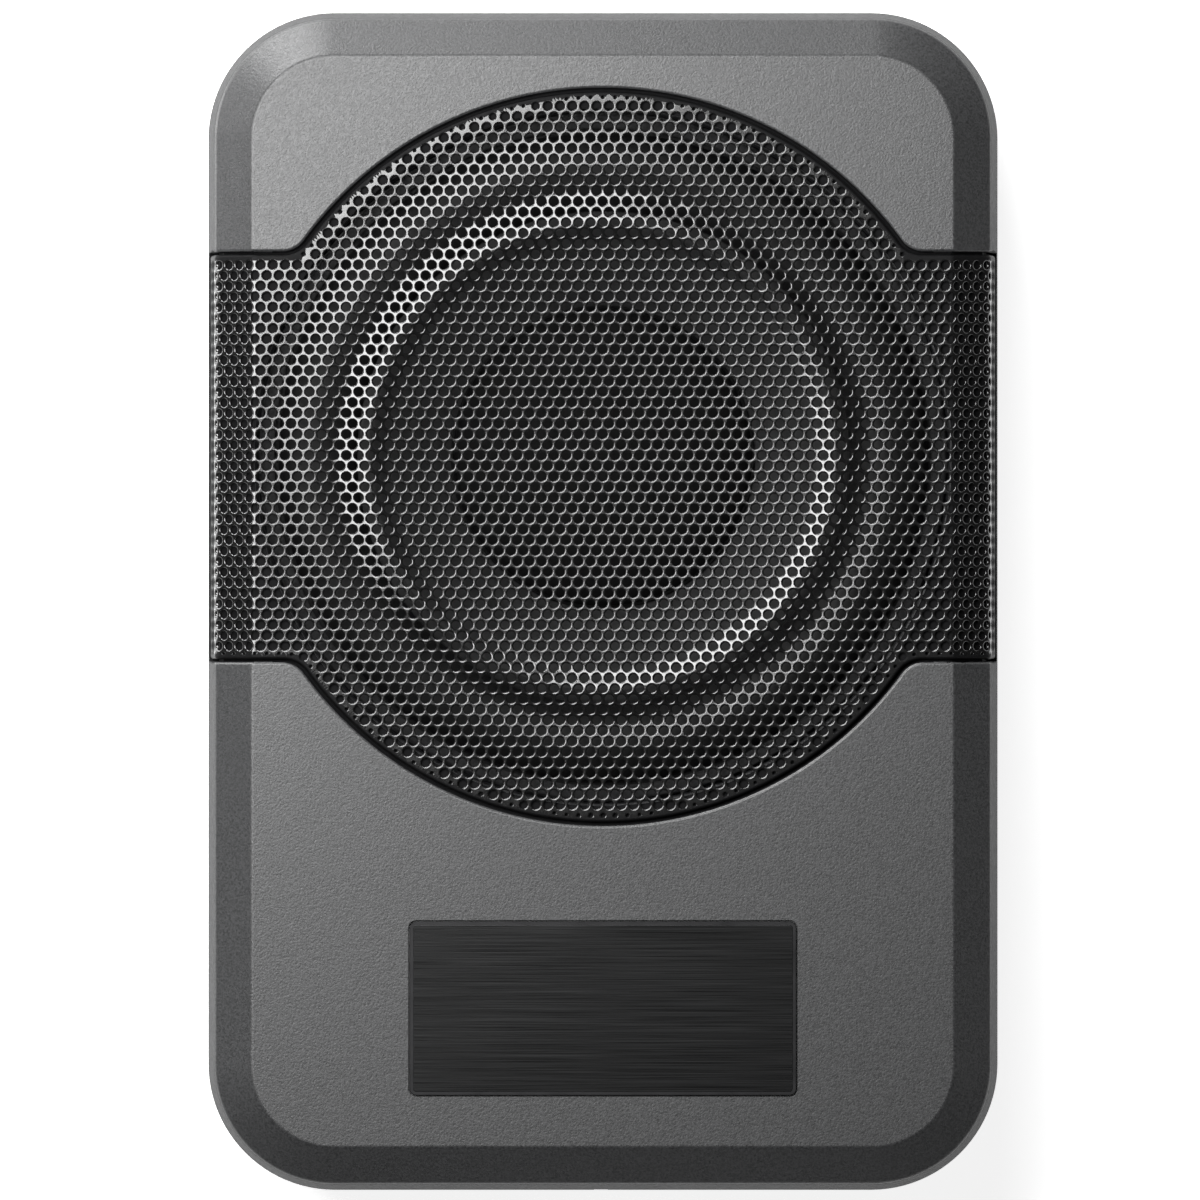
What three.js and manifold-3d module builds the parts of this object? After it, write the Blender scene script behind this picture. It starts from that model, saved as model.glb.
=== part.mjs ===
// Powered car subwoofer: a flat under-seat enclosure with its own amplifier.
// Millimetres, +Z up through the grille, +Y towards the woofer end, controls on the -Y end.
// The origin is the centre of the footprint, on the surface that the feet stand on.
import * as THREE from 'three';
import { mergeVertices } from 'three/addons/utils/BufferGeometryUtils.js';
import Module from 'manifold-3d';

const wasm = await Module();
wasm.setup();

// ---------------------------------------------------------------- driving dimensions
const HALF_X = 114;            // half width at the parting line
const HALF_Y = 170;            // half length at the parting line
const CORNER_R = 36.5;         // plan corner radius at the parting line
const CX = HALF_X - CORNER_R;  // all plan outlines share these corner centres
const CY = HALF_Y - CORNER_R;
const CORNER_SEGS = 6;

const Z_PART = 50;             // underside of the cover
const Z_SHOULDER = 69;         // where the drafted side turns into the chamfer
const Z_TOP = 76;              // flat top of the cover
const R_SHOULDER = CORNER_R - 2;
const R_TOP = CORNER_R - 12.8;
const COVER_T = 3.5;

const TRAY_Z0 = 3.3;
const TRAY_KNEE = 6;
const TRAY_Z1 = 48.9;
const TRAY_FLOOR = 6.3;

const WOOFER_Y = 41.6;         // woofer axis
const WINDOW_R = 106;          // round part of the recess that the grille drops into
const GRILLE_R = 105.2;
const BAND_Y0 = -17.3;         // straight band of the grille, edge to edge
const BAND_Y1 = 100.5;
const BAND_GAP = 0.6;
const JUNCTION_R = 8;          // rounding where the band meets the round part
const GRILLE_DROP = 0.3;       // grille face below the cover's face
const GRILLE_T = 1.0;
const RECESS_T = 1.6;
const GRILLE_SKIRT_Z = 53;     // lowest point of the recess down the side wall
const BAFFLE_R = 100.5;        // hole in the cover under the grille

const BADGE_X = 111.4, BADGE_Y = 50.1, BADGE_R = 2, BADGE_CY = -117.2;

const COVER_SCREWS = [[94, 148], [-94, 148], [102, 118], [-102, 118],
                      [102, -35], [-102, -35], [94, -148], [-94, -148]];
const FEET = { foot_front_left: [-82, -130], foot_front_right: [82, -130],
               foot_rear_left: [-82, 130], foot_rear_right: [82, 130] };

const PANEL_Y = -154.3;        // inner face of the control panel
const PANEL_Z = 27.5;          // height of the row of controls
const POCKET_X = 70, POCKET_Z0 = 10, POCKET_Z1 = 45, POCKET_Y = -154;
const GAIN_X = -55, LOWPASS_X = -37, PHASE_X = -20, LED_X = -9;
const RCA_X = [2, 16], REMOTE_X = 30, INLET_X = 51;
const BOARD_Z = 14.1, BOARD_T = 1.6;
const BOARD_LOCAL = BOARD_Z + BOARD_T + 0.3 - PANEL_Z;  // lowest point of what stands on the board, panel frame

// ---------------------------------------------------------------- solids
function solid(geometry) {
  let g = geometry.clone();
  g.deleteAttribute('normal');
  g.deleteAttribute('uv');
  g = mergeVertices(g, 1e-4);
  const pos = g.attributes.position.array;
  const idx = g.index.array;
  const tris = [];
  let volume = 0;
  const a = new THREE.Vector3(), b = new THREE.Vector3(), c = new THREE.Vector3();
  for (let i = 0; i < idx.length; i += 3) {
    const [p, q, r] = [idx[i], idx[i + 1], idx[i + 2]];
    if (p === q || q === r || r === p) continue;
    tris.push(p, q, r);
    a.fromArray(pos, 3 * p); b.fromArray(pos, 3 * q); c.fromArray(pos, 3 * r);
    volume += a.dot(b.cross(c));
  }
  if (volume < 0) for (let i = 0; i < tris.length; i += 3) [tris[i], tris[i + 1]] = [tris[i + 1], tris[i]];
  return new wasm.Manifold(new wasm.Mesh({
    numProp: 3, vertProperties: new Float32Array(pos), triVerts: new Uint32Array(tris),
  }));
}
function geometryOf(manifold) {
  const m = manifold.getMesh();
  const g = new THREE.BufferGeometry();
  const n = m.vertProperties.length / m.numProp;
  const pos = new Float32Array(3 * n);
  for (let i = 0; i < n; i++) for (let k = 0; k < 3; k++) pos[3 * i + k] = m.vertProperties[m.numProp * i + k];
  g.setAttribute('position', new THREE.BufferAttribute(pos, 3));
  g.setIndex(new THREE.BufferAttribute(new Uint32Array(m.triVerts), 1));
  return g;
}
const union = (...list) => list.reduce((p, q) => p.add(q));

const box = (x0, x1, y0, y1, z0, z1) =>
  solid(new THREE.BoxGeometry(x1 - x0, y1 - y0, z1 - z0).translate((x0 + x1) / 2, (y0 + y1) / 2, (z0 + z1) / 2));
const cylinder = (x, y, z0, z1, r, n = 12, rTop = r) =>
  solid(new THREE.CylinderGeometry(rTop, r, z1 - z0, n).rotateX(Math.PI / 2).translate(x, y, (z0 + z1) / 2));
const prism = (points, z0, z1) =>
  solid(new THREE.ExtrudeGeometry(new THREE.Shape(points), { depth: z1 - z0, bevelEnabled: false, steps: 1 }).translate(0, 0, z0));
// profile: [radius, height] pairs, closed on itself or on the axis; turned about +Z
function turned(profile, n = 30) {
  const pts = profile.map(([r, z]) => new THREE.Vector2(r, z));
  const [f, l] = [profile[0], profile[profile.length - 1]];
  if (f[0] > 0 || l[0] > 0) pts.push(pts[0].clone());
  return solid(new THREE.LatheGeometry(pts, n).rotateX(Math.PI / 2));
}
function tube(points, r, sides = 8, steps = 24) {
  const curve = new THREE.CatmullRomCurve3(points.map((p) => new THREE.Vector3(...p)));
  const section = new THREE.Shape(Array.from({ length: sides }, (_, i) => {
    const t = (2 * Math.PI * i) / sides;
    return new THREE.Vector2(r * Math.cos(t), r * Math.sin(t));
  }));
  return solid(new THREE.ExtrudeGeometry(section, { steps, extrudePath: curve, bevelEnabled: false }));
}

// plan outline with corners of radius r about the shared corner centres
function outline(r, segs = CORNER_SEGS) {
  const pts = [];
  [[1, 1, 0], [-1, 1, 90], [-1, -1, 180], [1, -1, 270]].forEach(([sx, sy, start]) => {
    for (let i = 0; i <= segs; i++) {
      const t = THREE.MathUtils.degToRad(start + (90 * i) / segs);
      pts.push(new THREE.Vector2(sx * CX + r * Math.cos(t), sy * CY + r * Math.sin(t)));
    }
  });
  return pts;
}
// stack of outlines: levels are [z, corner radius] from the bottom up
function stacked(levels, segs = CORNER_SEGS) {
  const g = new THREE.ExtrudeGeometry(new THREE.Shape(outline(10, segs)),
    { depth: levels.length - 1, steps: levels.length - 1, bevelEnabled: false });
  const p = g.attributes.position;
  for (let i = 0; i < p.count; i++) {
    const x = p.getX(i), y = p.getY(i);
    const [z, r] = levels[Math.round(p.getZ(i))];
    const cx = Math.sign(x) * CX, cy = Math.sign(y) * CY;
    p.setXYZ(i, cx + (x - cx) * (r / 10), cy + (y - cy) * (r / 10), z);
  }
  return solid(g);
}
// the cover's outer skin moved inwards by t, as stack levels
function skin(t, zBottom) {
  const P = [[CORNER_R, Z_PART], [R_SHOULDER, Z_SHOULDER], [R_TOP, Z_TOP]];
  const shift = (a, b) => {
    const dx = b[0] - a[0], dz = b[1] - a[1], l = Math.hypot(dx, dz);
    return { p: [a[0] - (dz / l) * t, a[1] + (dx / l) * t], d: [dx, dz] };
  };
  const wall = shift(P[0], P[1]), bevel = shift(P[1], P[2]);
  const at = (line, z) => line.p[0] + line.d[0] * ((z - line.p[1]) / line.d[1]);
  // where the two shifted lines meet
  const [a, b] = [wall, bevel];
  const det = a.d[0] * -b.d[1] + a.d[1] * b.d[0];
  const s = ((b.p[0] - a.p[0]) * -b.d[1] + (b.p[1] - a.p[1]) * b.d[0]) / det;
  const knee = [a.p[0] + a.d[0] * s, a.p[1] + a.d[1] * s];
  return [[zBottom, at(wall, zBottom)], [knee[1], knee[0]], [Z_TOP - t, at(bevel, Z_TOP - t)]];
}
// plan of the grille: a band across the full width joined to a disc, with rounded junctions
function grillePlan(r, y0, y1, f, x = 130, arc = 22) {
  const pts = [];
  const corner = (sx, sy, edge) => {
    const h = Math.abs(edge - WOOFER_Y);
    const cx = Math.sqrt((r + f) ** 2 - (h + f) ** 2), cy = h + f;
    const start = -Math.PI / 2, end = Math.atan2(-cy, -cx) + 2 * Math.PI;
    const a0 = start + 2 * Math.PI, list = [];
    for (let i = 0; i <= 3; i++) {
      const t = a0 + ((end - a0) * i) / 3;
      list.push(new THREE.Vector2(sx * (cx + f * Math.cos(t)), WOOFER_Y + sy * (cy + f * Math.sin(t))));
    }
    return list;
  };
  const cap = (sy, edge) => {
    const h = Math.abs(edge - WOOFER_Y);
    const cx = Math.sqrt((r + f) ** 2 - (h + f) ** 2);
    const a = Math.atan2(h + f, cx), list = [];
    for (let i = 1; i < arc; i++) {
      const t = a + ((Math.PI - 2 * a) * i) / arc;
      list.push(new THREE.Vector2(r * Math.cos(t), WOOFER_Y + sy * r * Math.sin(t)));
    }
    return list;
  };
  pts.push(new THREE.Vector2(x, y1), ...corner(1, 1, y1), ...cap(1, y1), ...corner(-1, 1, y1).reverse(), new THREE.Vector2(-x, y1));
  pts.push(new THREE.Vector2(-x, y0), ...corner(-1, -1, y0), ...cap(-1, y0).reverse(), ...corner(1, -1, y0).reverse(), new THREE.Vector2(x, y0));
  return pts;
}
function roundedRect(cx, cy, w, h, r, n = 4) {
  const pts = [];
  [[1, 1, 0], [-1, 1, 90], [-1, -1, 180], [1, -1, 270]].forEach(([sx, sy, start]) => {
    for (let i = 0; i <= n; i++) {
      const t = THREE.MathUtils.degToRad(start + (90 * i) / n);
      pts.push(new THREE.Vector2(cx + sx * (w / 2 - r) + r * Math.cos(t), cy + sy * (h / 2 - r) + r * Math.sin(t)));
    }
  });
  return pts;
}

// ---------------------------------------------------------------- materials
const finish = (color, roughness, metalness) => new THREE.MeshStandardMaterial({ color, roughness, metalness });
const M = {
  cover: finish(0x5c5d5f, 0.6, 0.0), cast: finish(0x1b1c1e, 0.55, 0.3), grille: finish(0x17181a, 0.35, 0.6),
  badge: finish(0x1d1e20, 0.35, 0.6), panel: finish(0x17181a, 0.6, 0.0), rubber: finish(0x151515, 0.85, 0.0),
  screw: finish(0x1f2022, 0.35, 0.8), steel: finish(0x2a2b2d, 0.45, 0.6), zinc: finish(0xa8abaf, 0.35, 0.9),
  cone: finish(0x2b2c2e, 0.7, 0.0), cap: finish(0x121214, 0.3, 0.0), spider: finish(0xb08a4a, 0.9, 0.0),
  former: finish(0x9a7a44, 0.5, 0.0), copper: finish(0xb5652b, 0.3, 1.0), ferrite: finish(0x2c2c30, 0.6, 0.0),
  board: finish(0x1e5a34, 0.5, 0.0), aluminium: finish(0xb4b6ba, 0.4, 0.9), sleeve: finish(0x20242c, 0.35, 0.0),
  epoxy: finish(0x101012, 0.5, 0.0), plug: finish(0x101113, 0.5, 0.0), led: finish(0x2f6fd0, 0.15, 0.0),
  lead: finish(0xb98a5a, 0.5, 0.6), wire: finish(0x8c1c1c, 0.5, 0.0),
};
const root = new THREE.Group();
const group = (x = 0, y = 0, z = 0, rx = 0) => {
  const g = new THREE.Group();
  g.position.set(x, y, z);
  g.rotation.x = rx;
  root.add(g);
  return g;
};
const enclosure = group();
const woofer = group(0, WOOFER_Y, 0);
const amplifier = group();
// in the panel's frame +Z points out of the panel and +Y is up
const panel = group(0, PANEL_Y, PANEL_Z, Math.PI / 2);
function piece(parent, name, manifold, material) {
  const mesh = new THREE.Mesh(geometryOf(manifold), material);
  mesh.name = name;
  parent.add(mesh);
  return mesh;
}

// ---------------------------------------------------------------- enclosure
{
  // cast tray: drafted tub, recessed pocket for the controls, cooling fins on both long sides
  const outer = stacked([[TRAY_Z0, 30.5], [TRAY_KNEE, 33], [TRAY_Z1, 35.6]]);
  let cavity = stacked([[TRAY_FLOOR, 30.2], [TRAY_Z1 + 5, 32.8]]);
  cavity = cavity.subtract(box(-POCKET_X - 2.5, POCKET_X + 2.5, -180, POCKET_Y + 2.5, 0, 47.5));
  const finY0 = -128, finY1 = -62, finZ0 = 12, finZ1 = 42;
  for (const s of [1, -1]) {
    const [a, b] = s > 0 ? [104.5, 120] : [-120, -104.5];
    cavity = cavity.subtract(box(a, b, finY0 - 3, finY1 + 3, 0, finZ1 + 3));
  }
  let tray = outer.subtract(cavity);
  tray = tray.subtract(box(-POCKET_X, POCKET_X, -180, POCKET_Y, POCKET_Z0, POCKET_Z1));
  tray = tray.subtract(box(-64, 64, -160, -150, 13.5, 41.5));
  for (const s of [1, -1]) {
    const count = 8, gap = 4, pitch = (finY1 - finY0 - gap) / (count - 1);
    for (let i = 0; i < count; i++) {
      const y = finY0 + i * pitch;
      const [a, b] = s > 0 ? [107.5, 120] : [-120, -107.5];
      tray = tray.subtract(box(a, b, y, y + gap, finZ0, finZ1));
    }
  }
  for (const [x, y] of COVER_SCREWS) {
    tray = tray.add(cylinder(x, y, 5, 30, 6.5, 14));
    tray = tray.subtract(cylinder(x, y, 0, 12, 4.6, 14)).subtract(cylinder(x, y, 11, 32, 2.3, 10));
  }
  for (const [x, y] of [[-60, -98], [60, -98], [-60, -140], [60, -140]])
    tray = tray.add(cylinder(x, y, 5, BOARD_Z - 0.3, 3.2, 12));
  for (const [x, y] of Object.values(FEET)) tray = tray.subtract(cylinder(x, y, 0, 4.6, 11.3, 20));
  for (const x of [-67, 67]) for (const z of [-11.5, 11.5])
    tray = tray.subtract(solid(new THREE.CylinderGeometry(1.5, 1.5, 12, 8).translate(x, POCKET_Y, PANEL_Z + z)));
  // stiffening ribs under the floor
  for (const x of [-54, -27, 0, 27, 54])
    tray = tray.add(box(x - 1, x + 1, -118, 118, 2.1, 3.4));
  piece(enclosure, 'base_tray', tray, M.cast);
}
{
  const outer = stacked(skin(0, Z_PART));
  const inner = stacked(skin(COVER_T, Z_PART - 3));
  let cover = outer.subtract(inner);
  // seat for the woofer flange, under the skin
  const seat = cylinder(0, WOOFER_Y, 68.7, 73, 106, 44).intersect(stacked(skin(0.5, Z_PART)));
  cover = cover.add(seat);
  const core = stacked(skin(1.2, 25));
  for (const [x, y] of COVER_SCREWS) cover = cover.add(cylinder(x, y, 30.3, 74, 4.5, 12).intersect(core));
  for (let k = 0; k < 6; k++) {
    const t = THREE.MathUtils.degToRad(30 + 60 * k);
    cover = cover.add(cylinder(105.3 * Math.cos(t), WOOFER_Y + 105.3 * Math.sin(t), 68.7, 73.2, 5, 12));
  }
  // recess that the grille drops into, following the chamfer and the side wall
  const plan = prism(grillePlan(WINDOW_R, BAND_Y0, BAND_Y1, JUNCTION_R), GRILLE_SKIRT_Z, 90);
  const recess = plan.subtract(stacked(skin(RECESS_T, Z_PART - 1)));
  cover = cover.subtract(recess);
  cover = cover.subtract(cylinder(0, WOOFER_Y, 60, 90, BAFFLE_R, 44));
  cover = cover.subtract(prism(roundedRect(0, BADGE_CY, BADGE_X + 0.8, BADGE_Y + 0.8, BADGE_R + 0.4), Z_TOP - 1.3, 90));
  for (const [x, y] of COVER_SCREWS) cover = cover.subtract(cylinder(x, y, 20, 50, 1.8, 8));
  for (let k = 0; k < 6; k++) {
    const t = THREE.MathUtils.degToRad(30 + 60 * k);
    cover = cover.subtract(cylinder(105.3 * Math.cos(t), WOOFER_Y + 105.3 * Math.sin(t), 66, 73.0, 1.5, 8));
  }
  // pry notch in the rim at the control end
  cover = cover.subtract(box(-2.6, 1.4, -175, -168.2, 49, 51.4));
  piece(enclosure, 'top_cover', cover, M.cover);
}
piece(enclosure, 'cover_gasket',
  stacked([[TRAY_Z1 + 0.2, 34.4], [Z_PART - 0.2, 34.4]]).subtract(stacked([[TRAY_Z1 - 1, 33.2], [Z_PART + 1, 33.2]])), M.rubber);
{
  // pressed steel grille: band bent over both chamfers, raised rings around a sunken centre
  const sheet = stacked(skin(GRILLE_DROP, 52)).subtract(stacked(skin(GRILLE_DROP + GRILLE_T, 51)));
  const plan = prism(grillePlan(GRILLE_R, BAND_Y0 + BAND_GAP, BAND_Y1 - BAND_GAP, JUNCTION_R + BAND_GAP), GRILLE_SKIRT_Z + 0.6, 90);
  let grille = sheet.intersect(plan).subtract(cylinder(0, WOOFER_Y, 70, 90, 100.6, 44));
  const face = Z_TOP - GRILLE_DROP;
  const top = [[0, 74.6], [62, 74.6], [67, 77.6], [77.5, 75.3], [84, 78], [95.2, 74.1], [99.6, face], [100.9, face]];
  const under = top.map(([r, z]) => [r, z - GRILLE_T]).reverse();
  grille = grille.add(turned([...top, ...under], 44).translate(0, WOOFER_Y, 0));
  piece(enclosure, 'grille', grille, M.grille);
}
piece(enclosure, 'badge_plate', prism(roundedRect(0, BADGE_CY, BADGE_X, BADGE_Y, BADGE_R), Z_TOP - 1.1, Z_TOP - 0.1), M.badge);
for (const [name, [x, y]] of Object.entries(FEET))
  piece(enclosure, name, union(cylinder(x, y, 0, 1, 9.8, 20, 11), cylinder(x, y, 1, 4.3, 11, 20)), M.rubber);
COVER_SCREWS.forEach(([x, y], i) => {
  const screw = union(cylinder(x, y, 9.3, 11.7, 4, 12), cylinder(x, y, 11.6, 44, 1.5, 8)).subtract(cylinder(x, y, 9, 10.4, 1.7, 6));
  piece(enclosure, `cover_screw_${i + 1}`, screw, M.screw);
});

// ---------------------------------------------------------------- woofer, about its own axis
{
  let frame = turned([[32, 31.3], [54.2, 31.3], [59.2, 36.3], [66.5, 36.3], [95, 59.5], [101.5, 59.5], [101.5, 66],
    [105, 66], [105, 68.4], [99.7, 68.4], [99.7, 61.5], [93.5, 61.5], [65.3, 38.1], [58.3, 38.1], [53.3, 33.1], [32, 33.1]], 36);
  for (let k = 0; k < 6; k++) {
    const a = 30 + 60 * k, pts = [];
    for (let i = 0; i <= 3; i++) { const t = THREE.MathUtils.degToRad(a + 9 + 14 * i); pts.push(new THREE.Vector2(91 * Math.cos(t), 91 * Math.sin(t))); }
    for (let i = 3; i >= 0; i--) { const t = THREE.MathUtils.degToRad(a + 9 + 14 * i); pts.push(new THREE.Vector2(69 * Math.cos(t), 69 * Math.sin(t))); }
    frame = frame.subtract(prism(pts, 30, 66));
    const t = THREE.MathUtils.degToRad(a);
    const [x, y] = [105.3 * Math.cos(t), 105.3 * Math.sin(t)];
    frame = frame.add(cylinder(x, y, 66, 68.4, 5, 12)).subtract(cylinder(x, y, 60, 69, 1.7, 8));
  }
  frame = frame.add(box(-9, 9, -84.8, -79, 40, 48));  // tab for the terminals
  piece(woofer, 'woofer_frame', frame, M.steel);
}
piece(woofer, 'frame_gasket', turned([[94.8, 62.9], [98.8, 62.9], [98.8, 65.4], [94.8, 65.4]], 36), M.rubber);
piece(woofer, 'cone', turned([[25.8, 43.4], [27, 43.4], [66.8, 60.9], [70.4, 60.9], [70.4, 61.9], [66.5, 61.9], [26.5, 44.6], [25.8, 44.6]], 30), M.cone);
{
  const dome = [], inner = [];
  for (let i = 0; i <= 4; i++) {
    const t = (Math.PI / 2) * (i / 4);
    dome.push([43 * Math.cos(t), 52.4 + 8 * Math.sin(t)]);
    inner.push([42.1 * Math.cos(t), 52.4 + 7.1 * Math.sin(t)]);
  }
  dome[4][0] = 0; inner[4][0] = 0;
  piece(woofer, 'dust_cap', turned([...inner.reverse(), ...dome], 30), M.cap);
}
{
  const over = [[67.4, 63.1], [70.5, 63.1]], under = [[67.4, 62.2], [70.9, 62.2]];
  for (let i = 0; i <= 6; i++) {
    const t = Math.PI - (Math.PI * i) / 6;
    over.push([82.3 + 11.4 * Math.cos(t), 62.9 + 6.9 * Math.sin(t)]);
    under.push([82.3 + 10.6 * Math.cos(t), 62.3 + 6.6 * Math.sin(t)]);
  }
  over.push([94.4, 62.6], [98.8, 62.6]); under.push([94.2, 61.8], [98.8, 61.8]);
  piece(woofer, 'surround', turned([...over, ...under.reverse()], 30), M.rubber);
}
{
  const over = [], under = [], crest = 40.2, dip = 38.2;
  over.push([25.9, 39.4], [28, 39.4]); under.push([25.9, 38.6], [28, 38.6]);
  for (let i = 0; i < 6; i++) { const r = 31 + 5 * i, z = i % 2 ? dip : crest; over.push([r, z + 0.4]); under.push([r, z - 0.4]); }
  over.push([59.5, 39.5], [64.4, 39.5]); under.push([59.5, 38.7], [64.4, 38.7]);
  piece(woofer, 'spider', turned([...over, ...under.reverse()], 24), M.spider);
}
piece(woofer, 'coil_former', turned([[25, 21.5], [25.5, 21.5], [25.5, 44.6], [25, 44.6]], 24), M.former);
piece(woofer, 'voice_coil', turned([[25.7, 21.5], [26.6, 21.5], [26.6, 35.5], [25.7, 35.5]], 24), M.copper);
piece(woofer, 'top_plate', turned([[27.5, 26], [50, 26], [50, 31], [27.5, 31]], 30), M.zinc);
piece(woofer, 'magnet', turned([[29, 12.3], [53.5, 12.3], [55, 13.8], [55, 24.2], [53.5, 25.7], [29, 25.7]], 30), M.ferrite);
piece(woofer, 'back_plate', turned([[8, 7.2], [46, 7.2], [48, 8.6], [48, 12], [24.3, 12], [24.3, 31.5], [8, 31.5]], 24), M.zinc);
piece(woofer, 'terminal_block',
  union(box(-19.5, 19.5, -89, -85.1, 38, 49),
    box(-9.2, -4.8, -93.5, -88.8, 41, 42), box(4.8, 9.2, -93.5, -88.8, 41, 42)), M.epoxy);
for (const [n, s] of [['tinsel_lead_left', -1], ['tinsel_lead_right', 1]])
  piece(woofer, n, tube([[s * 17, -87, 49.5], [s * 17, -87, 51.5], [s * 17.3, -85, 53], [s * 17.2, -81, 52.6], [s * 16.6, -72, 50], [s * 16, -62, 48], [s * 15.5, -53.5, 50], [s * 15, -50, 53]], 0.7, 6, 14), M.lead);
for (let k = 0; k < 6; k++) {
  const t = THREE.MathUtils.degToRad(30 + 60 * k);
  const [x, y] = [105.3 * Math.cos(t), 105.3 * Math.sin(t)];
  piece(woofer, `woofer_screw_${k + 1}`, union(cylinder(x, y, 63.6, 65.8, 2.8, 10), cylinder(x, y, 65.7, 72.6, 1.2, 6)).subtract(cylinder(x, y, 63, 64.7, 1.3, 6)), M.screw);
}

// ---------------------------------------------------------------- amplifier
{
  let board = box(-72, 72, -151, -88, BOARD_Z, BOARD_Z + BOARD_T);
  for (const [x, y] of [[-60, -98], [60, -98], [-60, -140], [60, -140]]) board = board.subtract(cylinder(x, y, 10, 20, 1.6, 12));
  piece(amplifier, 'amp_board', board, M.board);
}
piece(amplifier, 'heat_spreader', union(box(-50, 50, -87.2, -83.5, 6.6, 40), box(-50, 50, -87.2, -66, 6.6, 9.6)), M.aluminium);
const inductor = [];
for (let i = 0; i < 8; i++) { const t = (2 * Math.PI * i) / 8; inductor.push([13 + 5 * Math.cos(t), 21.2 + 5 * Math.sin(t)]); }
piece(amplifier, 'toroid_inductor', turned(inductor, 20).translate(-40, -114, 0), M.copper);
for (const [n, x] of [['filter_capacitor_1', -4], ['filter_capacitor_2', 18]])
  piece(amplifier, n, union(cylinder(x, -112, 16, 44, 9, 18), cylinder(x, -112, 43.9, 45.4, 9, 18, 8)), M.sleeve);
for (const [n, x] of [['power_transistor_1', -22], ['power_transistor_2', 22]])
  piece(amplifier, n, union(box(x - 8, x + 8, -92.6, -87.5, 19, 40), box(x - 6, x - 4, -91, -90, 16, 19.5), box(x - 1, x + 1, -91, -90, 16, 19.5), box(x + 4, x + 6, -91, -90, 16, 19.5)), M.epoxy);
piece(amplifier, 'speaker_lead', tube([[46, -100, 16.8], [46, -100, 24], [46, -96, 37], [42, -84, 48], [32, -73, 51], [18, -66, 47.5], [9, -61, 43.2], [7, -57, 41.6], [7, -52.5, 41.5]], 1.4, 8, 20), M.wire);

// ---------------------------------------------------------------- controls and sockets, in the panel's frame
{
  let plate = prism(roundedRect(0, 0, 139, 34, 1.5, 3), 0, 2);
  for (const x of [GAIN_X, LOWPASS_X]) plate = plate.subtract(cylinder(x, 0, -1, 3, 3.7, 14));
  plate = plate.subtract(box(PHASE_X - 4.6, PHASE_X + 4.6, -2.2, 2.2, -1, 3));
  plate = plate.subtract(cylinder(LED_X, 0, -1, 3, 1.9, 10));
  for (const x of RCA_X) plate = plate.subtract(cylinder(x, 0, -1, 3, 4.6, 18));
  plate = plate.subtract(box(REMOTE_X - 7, REMOTE_X + 7, -6, 6, -1, 3));
  plate = plate.subtract(box(INLET_X - 11.4, INLET_X + 11.4, -6.9, 6.9, -1, 3));
  for (const x of [-67, 67]) for (const y of [-11.5, 11.5]) plate = plate.subtract(cylinder(x, y, -1, 3, 1.5, 8));
  piece(panel, 'control_panel', plate, M.panel);
}
let n = 0;
for (const x of [-67, 67]) for (const y of [-11.5, 11.5])
  piece(panel, `panel_screw_${++n}`, union(cylinder(x, y, 2.3, 3.9, 2.4, 12), cylinder(x, y, -2.2, 2.4, 1.2, 6)).subtract(cylinder(x, y, 3, 5, 1.1, 6)), M.screw);
for (const [name, x] of [['gain_pot', GAIN_X], ['lowpass_pot', LOWPASS_X]])
  piece(panel, name, union(box(x - 6, x + 6, BOARD_LOCAL, 6.5, -11, -0.7), cylinder(x, 0, -1, 11.8, 3, 14)), M.epoxy);
for (const [name, x] of [['gain_knob', GAIN_X], ['lowpass_knob', LOWPASS_X]]) {
  const rim = Array.from({ length: 24 }, (_, i) => {
    const t = (2 * Math.PI * i) / 24, r = i % 2 ? 6.4 : 6.9;
    return new THREE.Vector2(r * Math.cos(t), r * Math.sin(t));
  });
  const knob = union(prism(rim, 3.6, 13.2), cylinder(0, 0, 13.1, 14, 6.2, 24, 5.6), cylinder(0, 0, 2.8, 3.7, 7.4, 24))
    .subtract(cylinder(0, 0, 0, 12.2, 3.4, 14)).subtract(box(-0.6, 0.6, 1.5, 8, 13.3, 15));
  piece(panel, name, knob, M.plug).position.x = x;
}
piece(panel, 'phase_switch', box(PHASE_X - 6.5, PHASE_X + 6.5, BOARD_LOCAL, 5, -8, -0.7).subtract(box(PHASE_X - 4.3, PHASE_X + 4.3, -1.9, 1.9, -4.5, 0)), M.epoxy);
piece(panel, 'phase_slider', union(box(-1.6, 1.6, -1.5, 1.5, -4.1, 4.2), box(-1.1, 1.1, -1.5, 1.5, 4.1, 4.9)), M.plug).position.x = PHASE_X - 1.5;
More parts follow.
